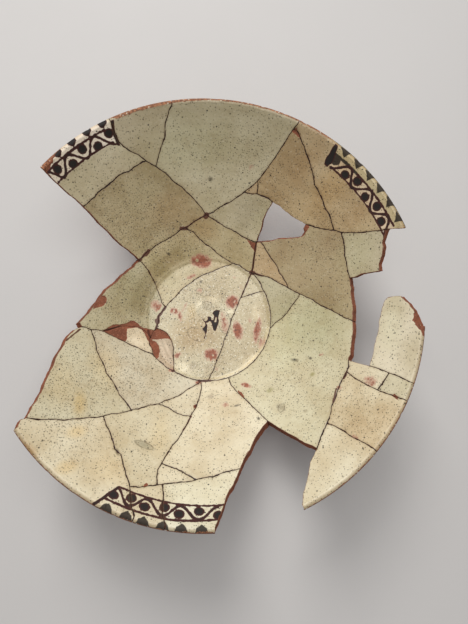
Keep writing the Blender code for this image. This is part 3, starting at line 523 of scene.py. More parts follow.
def stretch_distance(points, starts, ends):
    """Distance from each point to the nearest of the stretches between starts and ends."""
    side = ends - starts
    best = np.full(len(points), np.inf)
    for chunk in chunks(points):
        away = points[chunk, None, :] - starts
        share = np.clip((away * side).sum(-1) / np.maximum((side ** 2).sum(-1), 1e-12), 0.0, 1.0)
        best[chunk] = np.sqrt(((away - share[..., None] * side) ** 2).sum(-1).min(1))
    return best


def line_distance(points, line):
    """Distance from each point to a line of points."""
    line = np.asarray(line, float)
    return stretch_distance(points, line[:-1], line[1:])


def is_inside(points, loop):
    """Whether each point lies inside a closed outline."""
    loop = np.asarray(loop, float)
    x0, y0 = loop.T
    x1, y1 = np.roll(loop, -1, axis=0).T
    inside = np.zeros(len(points), bool)
    for chunk in chunks(points):
        x, y = points[chunk, :1], points[chunk, 1:]
        spans = (y0 > y) != (y1 > y)
        with np.errstate(divide="ignore", invalid="ignore"):
            crosses = x < x0 + (x1 - x0) * (y - y0) / (y1 - y0)
        inside[chunk] = (spans & crosses).sum(1) % 2 == 1
    return inside


def outline_distance(points, loop):
    """Signed distance to a closed outline, positive inside it."""
    loop = np.asarray(loop, float)
    away = stretch_distance(points, loop, np.roll(loop, -1, axis=0))
    return away * np.where(is_inside(points, loop), 1.0, -1.0)


def ellipse_share(points, x, y, half_x, half_y, turn):
    """0 at an ellipse's edge, 1 at its centre, and negative outside."""
    cos, sin = math.cos(math.radians(turn)), math.sin(math.radians(turn))
    away = points - (x, y)
    along = (away[:, 0] * cos + away[:, 1] * sin) / half_x
    across = (away[:, 1] * cos - away[:, 0] * sin) / half_y
    return 1.0 - np.hypot(along, across)


def near_line(points, line, margin=4.0):
    """Which points lie in the box around a line, or within a margin of it."""
    low, high = np.min(line, axis=0) - margin, np.max(line, axis=0) + margin
    return ((points > low) & (points < high)).all(1)


# ---------------------------------------------------------------- what the glaze carries
def close_steps(count):
    """Steps of an eighth from one to the next of a count of places."""
    return np.linspace(0.0, count - 1.0, 8 * (count - 1) + 1)


def swept(places):
    """Closely spaced places along a line whose azimuth and radius both change evenly."""
    steps = close_steps(len(places))
    azimuths, radii = (np.interp(steps, np.arange(len(places)), values) for values in zip(*places))
    return np.column_stack([azimuths, radii])


def wave_places(panel):
    """Closely spaced places along a panel's wave."""
    inner, outer = panel["wave"]
    turns = panel["turns"]
    steps = close_steps(len(turns))
    swing = panel["first"] * np.cos(np.pi * steps)
    radii = (inner + outer) / 2.0 + (outer - inner) / 2.0 * swing
    return np.column_stack([np.interp(steps, np.arange(len(turns)), turns), radii])


def panel_distances(points, panel):
    """Distance to a panel's strong and to its worn paint, negative on the paint."""
    layers = [np.full(len(points), FAR), np.full(len(points), FAR)]
    lines = [(layer, width, swept(places)) for layer, width, places in panel["rails"]]
    lines.append((STRONG, WAVE_THICKNESS, wave_places(panel)))
    for layer, width, places in lines:
        away = line_distance(points, polar_to_plan(places)) - width / 2.0
        layers[layer] = np.minimum(layers[layer], away)
    inner, outer = panel["wave"]
    for number, layer in panel["dots"].items():
        azimuth = panel["turns"][number]
        at_outer = panel["first"] * (-1) ** number > 0
        radius = inner + DOT_INSET if at_outer else outer - DOT_INSET
        x, y = polar_to_plan([(azimuth, radius)])[0]
        share = ellipse_share(points, x, y, DOT_HALF_HEIGHT, DOT_HALF_LENGTH, azimuth)
        layers[layer] = np.minimum(layers[layer], -share * DOT_HALF_HEIGHT)
    outlines = [(STRONG, panel["bar"])]
    for azimuth in panel["teeth"]:
        outlines.append((panel["teeth_layer"], [(azimuth + a, radius) for a, radius in panel["tooth"]]))
    for layer, outline in outlines:
        away = -outline_distance(points, polar_to_plan(outline))
        layers[layer] = np.minimum(layers[layer], away)
    return layers


def in_panel(points, margin=0.0):
    """Which points lie in one of the rim's painted panels."""
    azimuth, radius = azimuth_radius(points)
    spans = [(azimuth > low - margin) & (azimuth < high + margin) for low, high in PANEL_SPANS]
    return np.any(spans, axis=0) & (radius > PANEL_INNER - margin)


def in_motif(points):
    """Which points lie in the box around the motif."""
    x, y = points.T
    return (x > MOTIF_BOX[0]) & (x < MOTIF_BOX[1]) & (y > MOTIF_BOX[2]) & (y < MOTIF_BOX[3])


def paint_distance(points):
    """Distance to the strong paint, and to the worn paint, negative on it."""
    strong, worn = np.full(len(points), FAR), np.full(len(points), FAR)
    near = in_panel(points, 1.0)
    if near.any():
        for panel in PANELS:
            bold, faint = panel_distances(points[near], panel)
            strong[near], worn[near] = np.minimum(strong[near], bold), np.minimum(worn[near], faint)
    near = in_motif(points)
    if near.any():
        inside = np.minimum(outline_distance(points[near], MOTIF), -outline_distance(points[near], MOTIF_EYE))
        strong[near] = -inside
    wobble = 0.22 * noise(points, 1.7, 21)
    return strong + wobble, worn + wobble


def spall_distance(points):
    """Distance to the edge of the nearest lost glaze, negative where the clay is bare."""
    best = np.full(len(points), FAR)
    for loop in SPALLS:
        near = near_line(points, loop)
        if near.any():
            best[near] = np.minimum(best[near], -outline_distance(points[near], loop))
    return best + 0.35 * noise(points, 2.1, 22) + 0.2 * noise(points, 0.9, 23)


def flake_share(points):
    """How worn through to the red clay the glaze is."""
    worn = np.zeros(len(points))
    for x, y, half_x, half_y, turn, strength in FLAKES:
        share = ellipse_share(points, x, y, half_x * FLAKE_SPREAD, half_y * FLAKE_SPREAD, turn)
        worn = np.maximum(worn, strength * smoothstep(share, -0.15, 0.75))
    # Painted glints: the worn patch is taken back to glaze at these dots.
    for x, y, radius in FLAKE_GLINTS:
        worn *= smoothstep(np.hypot(points[:, 0] - x, points[:, 1] - y), 0.3 * radius, 1.2 * radius)
    return worn


def crowd_share(points):
    """How crowded the dark specks are."""
    crowd = np.full(len(points), CROWD_BASE)
    for x, y, half_x, half_y, turn, more in CROWDS:
        share = ellipse_share(points, x, y, half_x * SOFT_SPREAD, half_y * SOFT_SPREAD, turn)
        crowd += more * smoothstep(share, -0.1, 0.6)
    return np.clip(crowd + 0.12 * noise(points, 22.0, 29), 0.0, 1.0)


def oval_distance(points):
    """Distance to the nearest of the thin dark outlines."""
    turns = np.radians(np.arange(0.0, 360.0, 10.0))
    best = np.full(len(points), FAR)
    for x, y, half_x, half_y, turn in OVALS:
        near = ellipse_share(points, x, y, half_x + 4.0, half_y + 4.0, turn) > 0.0
        if near.any():
            cos, sin = math.cos(math.radians(turn)), math.sin(math.radians(turn))
            along, across = half_x * np.cos(turns), half_y * np.sin(turns)
            ring = np.column_stack([x + along * cos - across * sin, y + along * sin + across * cos])
            best[near] = np.minimum(best[near], line_distance(points[near], np.vstack([ring, ring[:1]])))
    return best + 0.25 * noise(points, 1.6, 30)


def smear_distance(points):
    """Distance to the edge of adhesive that has spread over the glaze."""
    best = np.full(len(points), FAR)
    for width, line in SMEARS:
        near = near_line(points, line)
        if near.any():
            best[near] = np.minimum(best[near], line_distance(points[near], line) - width / 2.0)
    return best + 0.35 * noise(points, 2.4, 24)


def wash_colour(points):
    """What the stains, the slip bands and the painted shade and highlights multiply the glaze's colour by."""
    stain_and_light_wash = np.ones((len(points), 3))
    for x, y, half_x, half_y, turn, name, strength in STAINS_AND_PAINTED_LIGHT:
        share = ellipse_share(points, x, y, half_x * SOFT_SPREAD, half_y * SOFT_SPREAD, turn)
        amount = (smoothstep(share, -0.2, 0.8) * strength)[:, None]
        stain_and_light_wash *= 1.0 - amount * (1.0 - np.array(STAIN_COLOURS[name]))
    azimuth, radius = azimuth_radius(points)
    for start, end, inner, outer, soft, gain in BANDS:
        share = within(azimuth, start, end, soft) * within(radius, inner, outer, soft)
        stain_and_light_wash *= 1.0 + share[:, None] * (np.array(gain) - 1.0)
    return stain_and_light_wash


def lip_wear(points):
    """How far each point lies past the line where the lip's glaze is worn through."""
    azimuth, radius = azimuth_radius(points)
    return radius - np.interp(azimuth, *zip(*LIP_WEAR))


def glaze_relief(points):
    """How far the glazed face stands off the turned shape, negative where it is sunk."""
    radius = plan_radius(points)
    rings = 0.05 * np.sin(radius * 0.95 + 0.8 * noise(points, 40.0, 25))
    swell = 0.10 * noise(points, 17.0, 26) + 0.04 * noise(points, 5.0, 27)
    bare = smoothstep(-spall_distance(points), -0.25, 0.45)
    rough = bare * 0.14 * noise(points, 1.3, 28)
    return rings + swell - SPALL_DEPTH * bare + rough - 0.12 * flake_share(points)


def target_step(points):
    """How closely the glazed face is cut at each point."""
    radius = plan_radius(points)
    step = np.full(len(points), GLAZE_STEP)
    step[(radius > WELL_FLAT_RADIUS - 0.8) & (radius < WELL_RADIUS + 0.8)] = WELL_EDGE_STEP
    fine = in_panel(points) | in_motif(points) | (spall_distance(points) < 1.2)
    fine |= (smear_distance(points) < 0.6) | (oval_distance(points) < 0.9)
    for x, y, half_x, half_y, turn, _, _ in STAINS_AND_PAINTED_LIGHT:
        if min(half_x, half_y) < SMALL_STAIN:
            fine |= ellipse_share(points, x, y, half_x + 1.0, half_y + 1.0, turn) > 0.0
    step[fine] = FINE_STEP
    return step


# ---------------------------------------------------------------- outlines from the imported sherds
def packed_outline(node):
    """Outline of a packed sherd's glazed face, counter-clockwise in plan, in millimetres."""
    mesh = bmesh.new()
    mesh.from_mesh(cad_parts[node].data)
    bmesh.ops.remove_doubles(mesh, verts=mesh.verts[:], dist=2e-6)
    place = np.array([vert.co[:] for vert in mesh.verts]) / MM
    radius = plan_radius(place)
    glazed = np.abs(place[:, 2] - inner_height(np.minimum(radius, RIM_EDGE[0]))) < ON_SURFACE
    glazed &= radius < RIM_EDGE[0] + ON_SURFACE
    mesh.verts.index_update()
    edges = set()
    for face in mesh.faces:
        corners = [vert.index for vert in face.verts]
        if glazed[corners].all():
            edges.update(zip(corners, corners[1:] + corners[:1]))
    mesh.free()
    after = {start: end for start, end in edges if (end, start) not in edges}
    if not after:
        raise RuntimeError(f"no glazed face was found on {node}")
    first = min(after)
    loop, here = [first], after[first]
    while here != first:
        loop.append(here)
        here = after[here]
    if len(loop) != len(after):
        raise RuntimeError(f"the glazed face of {node} has more than one outline")
    return place[loop, :2]


def fine_outline(loop, wander):
    """The outline in short steps, straying as fired clay breaks, with rim stretches on the rim."""
    on_rim = np.abs(plan_radius(loop) - RIM_EDGE[0]) < ON_SURFACE
    points, rim = [], []
    for i, start in enumerate(loop):
        end, both = loop[(i + 1) % len(loop)], on_rim[i] and on_rim[(i + 1) % len(loop)]
        count = max(1, round(math.dist(start, end) / EDGE_STEP))
        for step in range(count):
            points.append(start + (end - start) * step / count)
            rim.append(both or (step == 0 and on_rim[i]))
    points, rim = np.array(points), np.array(rim)
    shift = np.column_stack([
        noise(points, 3.2, 1) + 0.5 * noise(points, 1.2, 2),
        noise(points, 3.2, 3) + 0.5 * noise(points, 1.2, 4)])
    points = np.where(rim[:, None], points, points + wander * shift)
    radius = plan_radius(points)
    target = np.where(rim, RIM_EDGE[0], np.minimum(radius, RIM_EDGE[0] - 0.25))
    return points * (target / np.maximum(radius, 1e-6))[:, None], rim


def outline_normals(loop):
    """Unit normals that point into the outline."""
    ahead, back = np.roll(loop, -1, axis=0), np.roll(loop, 1, axis=0)
    along = ahead - back
    normal = np.column_stack([-along[:, 1], along[:, 0]])
    return normal / np.maximum(plan_radius(normal), 1e-9)[:, None]


def hex_grid(low, high, step):
    """Points a step apart in a grid of equal triangles that covers a box."""
    rise = step * ROW_SHARE
    rows = np.arange(math.floor(low[1] / rise), math.ceil(high[1] / rise) + 1)
    columns = np.arange(math.floor(low[0] / step), math.ceil(high[0] / step) + 1)
    x, row = np.meshgrid(columns * step, rows)
    return np.column_stack([(x + (row % 2) * step / 2.0).ravel(), (row * rise).ravel()])


def glaze_points(loop):
    """Points inside the outline for the glazed face."""
    low, high = loop.min(0), loop.max(0)
    kept = []
    for offset in INSET_ROWS:
        row = loop + outline_normals(loop) * offset
        kept.append(row[outline_distance(row, loop) > 0.8 * offset])
    for step in (GLAZE_STEP, WELL_EDGE_STEP, FINE_STEP):
        grid = hex_grid(low, high, step)
        grid = grid[is_inside(grid, loop)]
        grid = grid[target_step(grid) == step]
        kept.append(grid[outline_distance(grid, loop) > INSET_ROWS[-1] + 0.5 * step])
    return np.vstack(kept)


def outside_points(loop):
    """Points inside the outline for the outer face, with rings at the foot's edge."""
    grid = [hex_grid(loop.min(0), loop.max(0), OUTSIDE_STEP)]
    turns = np.linspace(0.0, 360.0, 181)[:-1]
    for radius in (FOOT_RADIUS - 0.4, FOOT_RADIUS + 0.2, FOOT_RADIUS + 0.9, FOOT_TOP_RADIUS + 0.1):
        grid.append(polar_to_plan([(turn, radius) for turn in turns]))
    grid = np.vstack(grid)
    return grid[outline_distance(grid, loop) > 0.9]


def triangulate(loop, inner):
    """Triangles over an outline and its inner points, as indices into both together."""
    points = [Vector(p) for p in np.vstack([loop, inner])]
    result = delaunay_2d_cdt(points, [], [list(range(len(loop)))], 1, 1e-6)
    places, faces, sources = result[0], result[2], result[3]
    first = [min(source) if source else -1 for source in sources]
    if min(first) < 0 or len(places) < len(points) - 3:
        raise RuntimeError("an outline crosses itself")
    return np.array([[first[i] for i in face] for face in faces])


# ---------------------------------------------------------------- one sherd
def lip_rows(plan):
    """The rounded lip at rim points, one row of places for each share through the wall."""
    _, through, along, out = wall_frame(plan)
    centre = out * LIP_CENTRE[0] + np.array([0.0, 0.0, LIP_CENTRE[1]])
    azimuth_place = out[:, :2] * RIM_RADIUS
    nick = smoothstep(noise(azimuth_place, 4.5, 31), 0.55, 0.95) * 0.22
    worn = 0.985 - 0.03 * np.abs(noise(azimuth_place, 1.8, 32)) - nick
    rows = []
    for share in THROUGH_SHARES[:-1]:
        turn = math.pi * (share - 0.5)
        size = (1.0 - (1.0 - worn) * math.cos(turn))[:, None]
        rows.append(centre + size * (along * LIP_RISE * math.cos(turn)
                                     + through * RIM_THICKNESS / 2.0 * math.sin(turn)))
    return rows


def sherd_places(loop, rim, plan, relief):
    """Places of a sherd's glazed face and of the rows down its edge, and how chipped it is."""
    inner, through, _, _ = wall_frame(plan)
    outer = outer_places(loop)
    count = len(loop)
    distance = np.maximum(outline_distance(plan, loop), 0.0)
    distance[:count] = 0.0
    edge_chip = smoothstep(noise(plan, 1.9, 33) + 0.5 * noise(plan, 0.8, 34), 0.25, 0.8)
    lowered = 0.10 * np.exp(-(distance / 0.28) ** 2) + 0.26 * edge_chip * np.exp(-(distance / 0.42) ** 2)
    top = inner - through * (glaze_relief(plan) - lowered)[:, None]
    top[:count][rim] = inner[:count][rim]
    normals = outline_normals(loop)
    lip = lip_rows(loop)
    rows = []
    for number, share in enumerate(THROUGH_SHARES[:-1]):
        row = top[:count] * (1.0 - share) + outer * share
        bite = 0.5 + 0.5 * noise(row, 3.1, 35) + 0.35 * noise(row, 1.2, 36)
        bite = relief * np.clip(bite, 0.0, 1.3) * min(1.0, share * 5.0)
        row[:, :2] += normals * bite[:, None]
        rows.append(np.where(rim[:, None], lip[number], row))
    return top, [*rows, outer], edge_chip


def near_joined(plan, loop, joined):
    """Whether the nearest stretch of the outline is a join, for each plan point."""
    flags = np.zeros(len(plan))
    for chunk in chunks(plan):
        away = ((plan[chunk, None, :] - loop) ** 2).sum(-1)
        flags[chunk] = joined[away.argmin(1)]
    return flags


def side_faces(starts, rim_edge):
    """Faces between the rows of points down a sherd's edge, and their material numbers."""
    here = np.arange(len(rim_edge))
    ahead = np.roll(here, -1)
    faces, slots = [], []
    for share, upper, lower in zip(THROUGH_SHARES, starts, starts[1:]):
        faces.append(np.column_stack([upper + here, lower + here, lower + ahead, upper + ahead]))
        lip_slot = GLAZED if math.pi * (share - 0.5) < LIP_GLAZE_ENDS else OUTSIDE
        slots.append(np.where(rim_edge, lip_slot, BROKEN))
    return np.vstack(faces), np.concatenate(slots)


def finish_values(places, plan, loop, starts, rim_edge, joined, chip):
    """What a sherd's finishes need to know at each point, by name."""
    flat = places[:, :2]
    glazed, count, back = len(plan), len(loop), starts[-1] + len(loop)
    strong, worn = paint_distance(flat)
    lip = lip_wear(flat)
    depth = np.zeros(len(places))
    wall = thickness(plan_radius(loop))
    for share, start in zip(THROUGH_SHARES, starts[1:]):
        row = slice(start, start + count)
        depth[row] = share * wall
        if share > PAINT_ENDS_SHARE:
            strong[row] = worn[row] = lip[row] = FAR
    depth[back:] = strong[back:] = worn[back:] = FAR
    edge = np.full(len(places), FAR)
    starts_here, ends_here = loop[~rim_edge], np.roll(loop, -1, axis=0)[~rim_edge]
    edge[:glazed] = np.minimum(stretch_distance(plan, starts_here, ends_here), FAR)
    edge[glazed:back] = np.tile(edge[:count], len(THROUGH_SHARES))
    chips = np.zeros(len(places))
    chips[:glazed] = chip
    return {
        "paint": strong, "worn_paint": worn, "spall": spall_distance(flat),
        "flake": flake_share(flat), "smear": smear_distance(flat), "lip": lip, "edge": edge,
        "chip": chips, "joined": near_joined(flat, loop, joined.astype(float)), "depth": depth,
        "crowd": crowd_share(flat), "oval": oval_distance(flat),
    }


def add_values(mesh, name, values):
    """Keep one number for each point on a mesh."""
    mesh.attributes.new(name, "FLOAT", "POINT").data.foreach_set("value", values.astype(np.float32))


def add_wash(mesh, plan, gain):
    """Keep what multiplies the glaze's colour at each point on a mesh."""
    colours = np.column_stack([wash_colour(plan) * gain, np.ones(len(plan))])
    stain_and_light_wash = mesh.attributes.new("stain_and_light_wash", "FLOAT_COLOR", "POINT")
    stain_and_light_wash.data.foreach_set("color", colours.astype(np.float32).ravel())


def sherd_mesh(name, loop, rim, joined, relief, gain):
    """The closed mesh of one sherd, with what its finishes need kept on its points."""
    plan = np.vstack([loop, glaze_points(loop)])
    back_plan = outside_points(loop)
    top, rows, chip = sherd_places(loop, rim, plan, relief)
    places = np.vstack([top, *rows, outer_places(back_plan)])
    starts = [0] + [len(top) + len(loop) * i for i in range(len(rows))]
    rim_edge = rim & np.roll(rim, -1)

    top_faces = triangulate(loop, plan[len(loop):])
    sides, side_slots = side_faces(starts, rim_edge)
    back_faces = (starts[-1] + triangulate(loop, back_plan))[:, ::-1]
    slots = [np.full(len(top_faces), GLAZED), side_slots, np.full(len(back_faces), OUTSIDE)]
    mesh = bpy.data.meshes.new(name)
    mesh.from_pydata((places * MM).tolist(), [], top_faces.tolist() + sides.tolist() + back_faces.tolist())
    mesh.polygons.foreach_set("material_index", np.concatenate(slots).astype(np.int32))

    for key, values in finish_values(places, plan, loop, starts, rim_edge, joined, chip).items():
        add_values(mesh, key, values)
    add_wash(mesh, places[:, :2], gain)
    mesh.shade_smooth()
    mesh.set_sharp_from_angle(angle=SHARP_ANGLE)
    mesh.validate()
    return mesh


# ---------------------------------------------------------------- finishes
def shaded(colour, share):
    """A colour made darker or lighter."""
    return tuple(min(1.0, part * share) for part in colour)


class Finish:
    """A material's nodes, with short calls for the kinds that these finishes use."""

    def __init__(self, name):
        self.material = bpy.data.materials.new(name)
        self.material.use_nodes = True
        self.tree = self.material.node_tree
        self.surface = self.tree.nodes["Principled BSDF"]
        self.place = self.add("ShaderNodeTexCoord").outputs["Object"]

    def add(self, kind, **settings):
        """A new node with its settings."""
        node = self.tree.nodes.new(kind)
        for key, value in settings.items():
            setattr(node, key, value)
        return node

    def feed(self, socket, value):
        """Link a socket, or set it where the value is a constant."""
        if isinstance(value, bpy.types.NodeSocket):
            self.tree.links.new(value, socket)
        elif isinstance(value, (tuple, list)) and len(value) == 3 and socket.type == "RGBA":
            socket.default_value = (*value, 1.0)
        else:
            socket.default_value = value

    def sum(self, operation, *values):
        """The result of one operation on sockets or numbers."""
        node = self.add("ShaderNodeMath", operation=operation)
        for socket, value in zip(node.inputs, values):
            self.feed(socket, value)
        return node.outputs[0]

    def times(self, first, second):
        """One value multiplied by another."""
        return self.sum("MULTIPLY", first, second)

    def plus(self, first, second):
        """One value added to another."""
        return self.sum("ADD", first, second)

    def most(self, first, second):
        """The larger of two values."""
        return self.sum("MAXIMUM", first, second)

    def swing(self, value, reach):
        """Noise made to swing to both sides of nothing, by half its reach at most."""
        return self.times(self.sum("SUBTRACT", value, 0.5), reach)

    def value(self, name):
        """A number kept on the mesh's points."""
        return self.add("ShaderNodeAttribute", attribute_name=name).outputs["Fac"]

    def colour(self, name):
        """A colour kept on the mesh's points."""
        return self.add("ShaderNodeAttribute", attribute_name=name).outputs["Color"]

    def noise(self, size, detail=2.0, rough=0.55, twist=0.0, stretch=None):
        """Noise with features of about a size in mm."""
        node = self.add("ShaderNodeTexNoise")
        place = self.place
        if stretch:
            mapping = self.add("ShaderNodeMapping")
            self.feed(mapping.inputs["Vector"], self.place)
            mapping.inputs["Scale"].default_value = stretch
            place = mapping.outputs["Vector"]
        self.feed(node.inputs["Vector"], place)
        node.inputs["Scale"].default_value = 1.0 / (size * MM)
        node.inputs["Detail"].default_value = detail
        node.inputs["Roughness"].default_value = rough
        node.inputs["Distortion"].default_value = twist
        return node.outputs["Fac"]

    def dots(self, size, low, high, share=1.0):
        """Round specks of uneven strength, in a share of the cells of a size in mm."""
        node = self.add("ShaderNodeTexVoronoi")
        self.feed(node.inputs["Vector"], self.place)
        node.inputs["Scale"].default_value = 1.0 / (size * MM)
        speck = self.step(node.outputs["Distance"], high / size, low / size)
        split = self.add("ShaderNodeSeparateColor")
        self.feed(split.inputs[0], node.outputs["Color"])
        chosen = self.sum("LESS_THAN", split.outputs[0], share)
        strength = self.plus(0.4, self.times(split.outputs[1], 0.6))
        return self.times(self.times(speck, chosen), strength)

    def step(self, value, low, high):
        """0 at the low value and 1 at the high one, which may lie the other way round."""
        node = self.add("ShaderNodeMapRange", interpolation_type="SMOOTHSTEP")
        ends = (0.0, 1.0) if low < high else (1.0, 0.0)
        for socket, part in zip(node.inputs, (value, min(low, high), max(low, high), *ends)):
            self.feed(socket, part)
        return node.outputs[0]

    def mix(self, share, first, second, blend="MIX"):
        """The first colour where the share is 0 and the second where it is 1."""
        node = self.add("ShaderNodeMix", data_type="RGBA", blend_type=blend)
        for socket, value in zip((node.inputs[0], node.inputs[6], node.inputs[7]), (share, first, second)):
            self.feed(socket, value)
        return node.outputs[2]

    def over(self, under, share, strength, colour):
        """A colour laid over another, by a share and a strength."""
        return self.mix(self.times(share, strength), under, colour)

    def finish(self, colour, roughness, height, depth, shine=0.5):
        """Send the colour, the roughness and a bump of a depth in mm to the surface."""
        self.feed(self.surface.inputs["Base Color"], colour)
        self.feed(self.surface.inputs["Roughness"], roughness)
        self.surface.inputs["Specular IOR Level"].default_value = shine
        bump = self.add("ShaderNodeBump")
        bump.inputs["Distance"].default_value = depth * MM
        self.feed(bump.inputs["Height"], height)
        self.feed(self.surface.inputs["Normal"], bump.outputs[0])
        return self.material


def clay_colour(f, clay):
    """Fired red clay with sandy grain, darker drifts and pale grit."""
    pale = tuple(min(1.0, part * 1.25 + 0.03) for part in clay)
    drift = f.mix(f.step(f.noise(9.0, 4.0), 0.36, 0.66), shaded(clay, 0.62), clay)
    grain = f.mix(f.step(f.noise(0.9, 3.0), 0.5, 0.75), drift, pale)
    return f.mix(f.dots(2.2, 0.1, 0.3, 0.35), grain, linear(206, 188, 160))


def glazed_slip(f, tone):
    """Mottled slip with stains, painted shade and highlights, clouds and specks, and where its pitted specks
    are.
    """
    gloss = tone == "gloss"
    light, dark = (linear(*colour) for colour in TONES[tone])
    amount = f.plus(f.times(f.noise(30.0, 3.0, 0.5), 0.8), f.times(f.noise(3.0, 4.0, 0.62), 0.2))
    colour = f.mix(f.step(amount, 0.3, 0.72), light, dark)
    colour = f.mix(1.0, colour, f.colour("stain_and_light_wash"), "MULTIPLY")
    crowd = f.value("crowd")
    crowded = f.plus(0.3, crowd)
    tea = f.times(f.step(f.noise(7.0, 5.0, 0.72, 0.3), 0.5, 0.7), crowded)
    colour = f.over(colour, tea, 0.24, linear(138, 108, 72))
    grime = f.times(f.step(f.noise(1.1, 4.0, 0.72), 0.5, 0.7), crowded)
    colour = f.over(colour, grime, 0.34 if gloss else 0.26, linear(112, 92, 58))
    # Pale flecks: paler slip on every tone, and on the glossy well mostly painted glints.
    pale = f.step(f.noise(1.4, 3.0, 0.65, 0.4), 0.56, 0.7)
    colour = f.over(colour, pale, 0.75 if gloss else 0.22, linear(246, 240, 220))
    pepper = f.dots(1.4, 0.26, 0.56, crowd)
    colour = f.over(colour, pepper, 0.9, linear(58, 48, 28))
    specks = f.dots(3.8, 0.42, 0.85, f.plus(0.3, f.times(crowd, 0.45)))
    return f.over(colour, specks, 0.95, linear(30, 26, 18)), f.most(pepper, specks)


def flaked_patches(f, colour):
    """Glaze flaked through to burnt clay, and how bare that clay is."""
    flake = f.value("flake")
    streak = f.noise(2.6, 4.0, 0.7, 0.6, (1.0, 0.55, 1.0))
    flake = f.plus(flake, f.times(f.swing(streak, 1.7), f.step(flake, 0.02, 0.3)))
    colour = f.over(colour, f.step(flake, 0.16, 0.6), 0.6, linear(190, 140, 120))
    red = f.step(flake, 0.42, 0.86)
    burnt = f.mix(f.step(f.noise(1.7, 3.0, 0.6), 0.42, 0.68), linear(156, 86, 60), linear(98, 48, 34))
    return f.over(colour, red, 0.9, burnt), red


def painted_lines(f, colour, paint):
    """Thin outlines, then the worn and the strong paint, and where paint lies."""
    colour = f.over(colour, f.step(f.value("oval"), 0.55, 0.15), 0.5, linear(96, 80, 54))
    worn = f.plus(f.value("worn_paint"), f.times(f.noise(1.6, 3.0, 0.7), 0.9))
    faint = f.step(worn, 0.85, 0.35)
    colour = f.over(colour, faint, 0.95, linear(32, 22, 16))
    strong = f.value("paint")
    faded = f.times(f.step(f.noise(1.3, 4.0, 0.7), 0.66, 0.78), 0.55)
    black = f.step(f.plus(strong, f.swing(f.noise(0.9, 3.0), 0.5)), 0.14, -0.1)
    black = f.times(black, f.sum("SUBTRACT", 1.0, faded))
    thin = f.mix(f.step(strong, -0.85, -0.35), paint, linear(66, 28, 22))
    return f.mix(black, colour, thin), f.most(black, faint)


def dirty_edges(f, colour, clay):
    """A brown stain beside a join, worn clay along a free edge, and dirt in the join."""
    edge = f.plus(f.value("edge"), f.swing(f.noise(3.0, 4.0, 0.65), 0.9))
    joined, chip = f.value("joined"), f.value("chip")
    colour = f.over(colour, f.times(f.step(edge, 1.8, 0.3), joined), 0.2, linear(120, 90, 56))
    open_wear = f.step(f.sum("SUBTRACT", edge, f.times(chip, 0.3)), 0.3, 0.05)
    colour = f.over(colour, open_wear, 0.85, shaded(clay, 0.6))
    join_dirt = f.step(f.sum("SUBTRACT", edge, f.times(chip, 0.15)), 0.26, 0.06)
    return f.over(colour, join_dirt, joined, linear(38, 24, 14))


def bare_places(f, colour, clay):
    """Spalls down to the clay and the rusty worn lip with painted white glints on it, and where they are."""
    spall = f.step(f.value("spall"), 0.12, -0.1)
    colour = f.mix(spall, colour, clay_colour(f, shaded(clay, 0.86)))
    lip = f.step(f.plus(f.value("lip"), f.swing(f.noise(1.8, 4.0, 0.7), 2.8)), -0.12, 0.2)
    rusty = f.mix(f.step(f.noise(1.4, 3.0, 0.6), 0.4, 0.62), linear(104, 60, 40), linear(168, 112, 76))
    # Painted glints: white dots on the rusty lip.
    rusty = f.mix(f.dots(2.4, 0.35, 0.7, 0.55), rusty, linear(244, 234, 212))
    return f.over(colour, lip, 0.92, rusty), f.most(spall, lip)


def glaze_finish(tone, clay, paint):
    """Slip under a clear glaze: mottled, speckled, painted, stained and worn, with painted shade and
    highlights.
    """
    f = Finish(tone + "_glaze")
    colour, pits = glazed_slip(f, tone)
    colour, red = flaked_patches(f, colour)
    colour, painted = painted_lines(f, colour, paint)
    colour, bare = bare_places(f, dirty_edges(f, colour, clay), clay)
    smear = f.step(f.value("smear"), 0.2, -0.25)
    colour = f.over(colour, smear, 0.93, linear(84, 38, 22))

    bare = f.most(bare, f.times(red, 0.7))
    sheen = f.plus(0.22 if tone == "gloss" else 0.32, f.times(f.noise(3.1, 4.0, 0.65), 0.26))
    rough = f.plus(f.times(f.most(bare, painted), 0.4), sheen)
    sunk = f.plus(f.times(pits, -0.7), f.times(f.noise(0.8, 4.0, 0.6), f.plus(0.35, bare)))
    raised = f.plus(f.times(smear, 1.2), f.noise(4.2, 3.0))
    return f.finish(colour, rough, f.plus(sunk, raised), 0.12)


def break_finish(clay):
    """The broken face: a line of slip at the top over red clay, sandy and a little dirty."""
    f = Finish("red_clay")
    colour = clay_colour(f, shaded(clay, 0.9))
    colour = f.over(colour, f.step(f.noise(6.0, 3.0, 0.6), 0.5, 0.72), 0.35, linear(104, 66, 50))
    slip = f.plus(f.value("depth"), f.times(f.noise(1.8, 3.0), 0.35))
    colour = f.over(colour, f.step(slip, 0.62, 0.4), 0.75, linear(206, 184, 148))
    colour = f.over(colour, f.step(f.noise(3.4, 4.0, 0.7), 0.5, 0.7), 0.4, linear(62, 42, 32))
    relief = f.plus(f.noise(0.7, 5.0, 0.7), f.times(f.noise(2.4, 3.0), 1.4))
    return f.finish(colour, 0.88, relief, 0.3, shine=0.25)


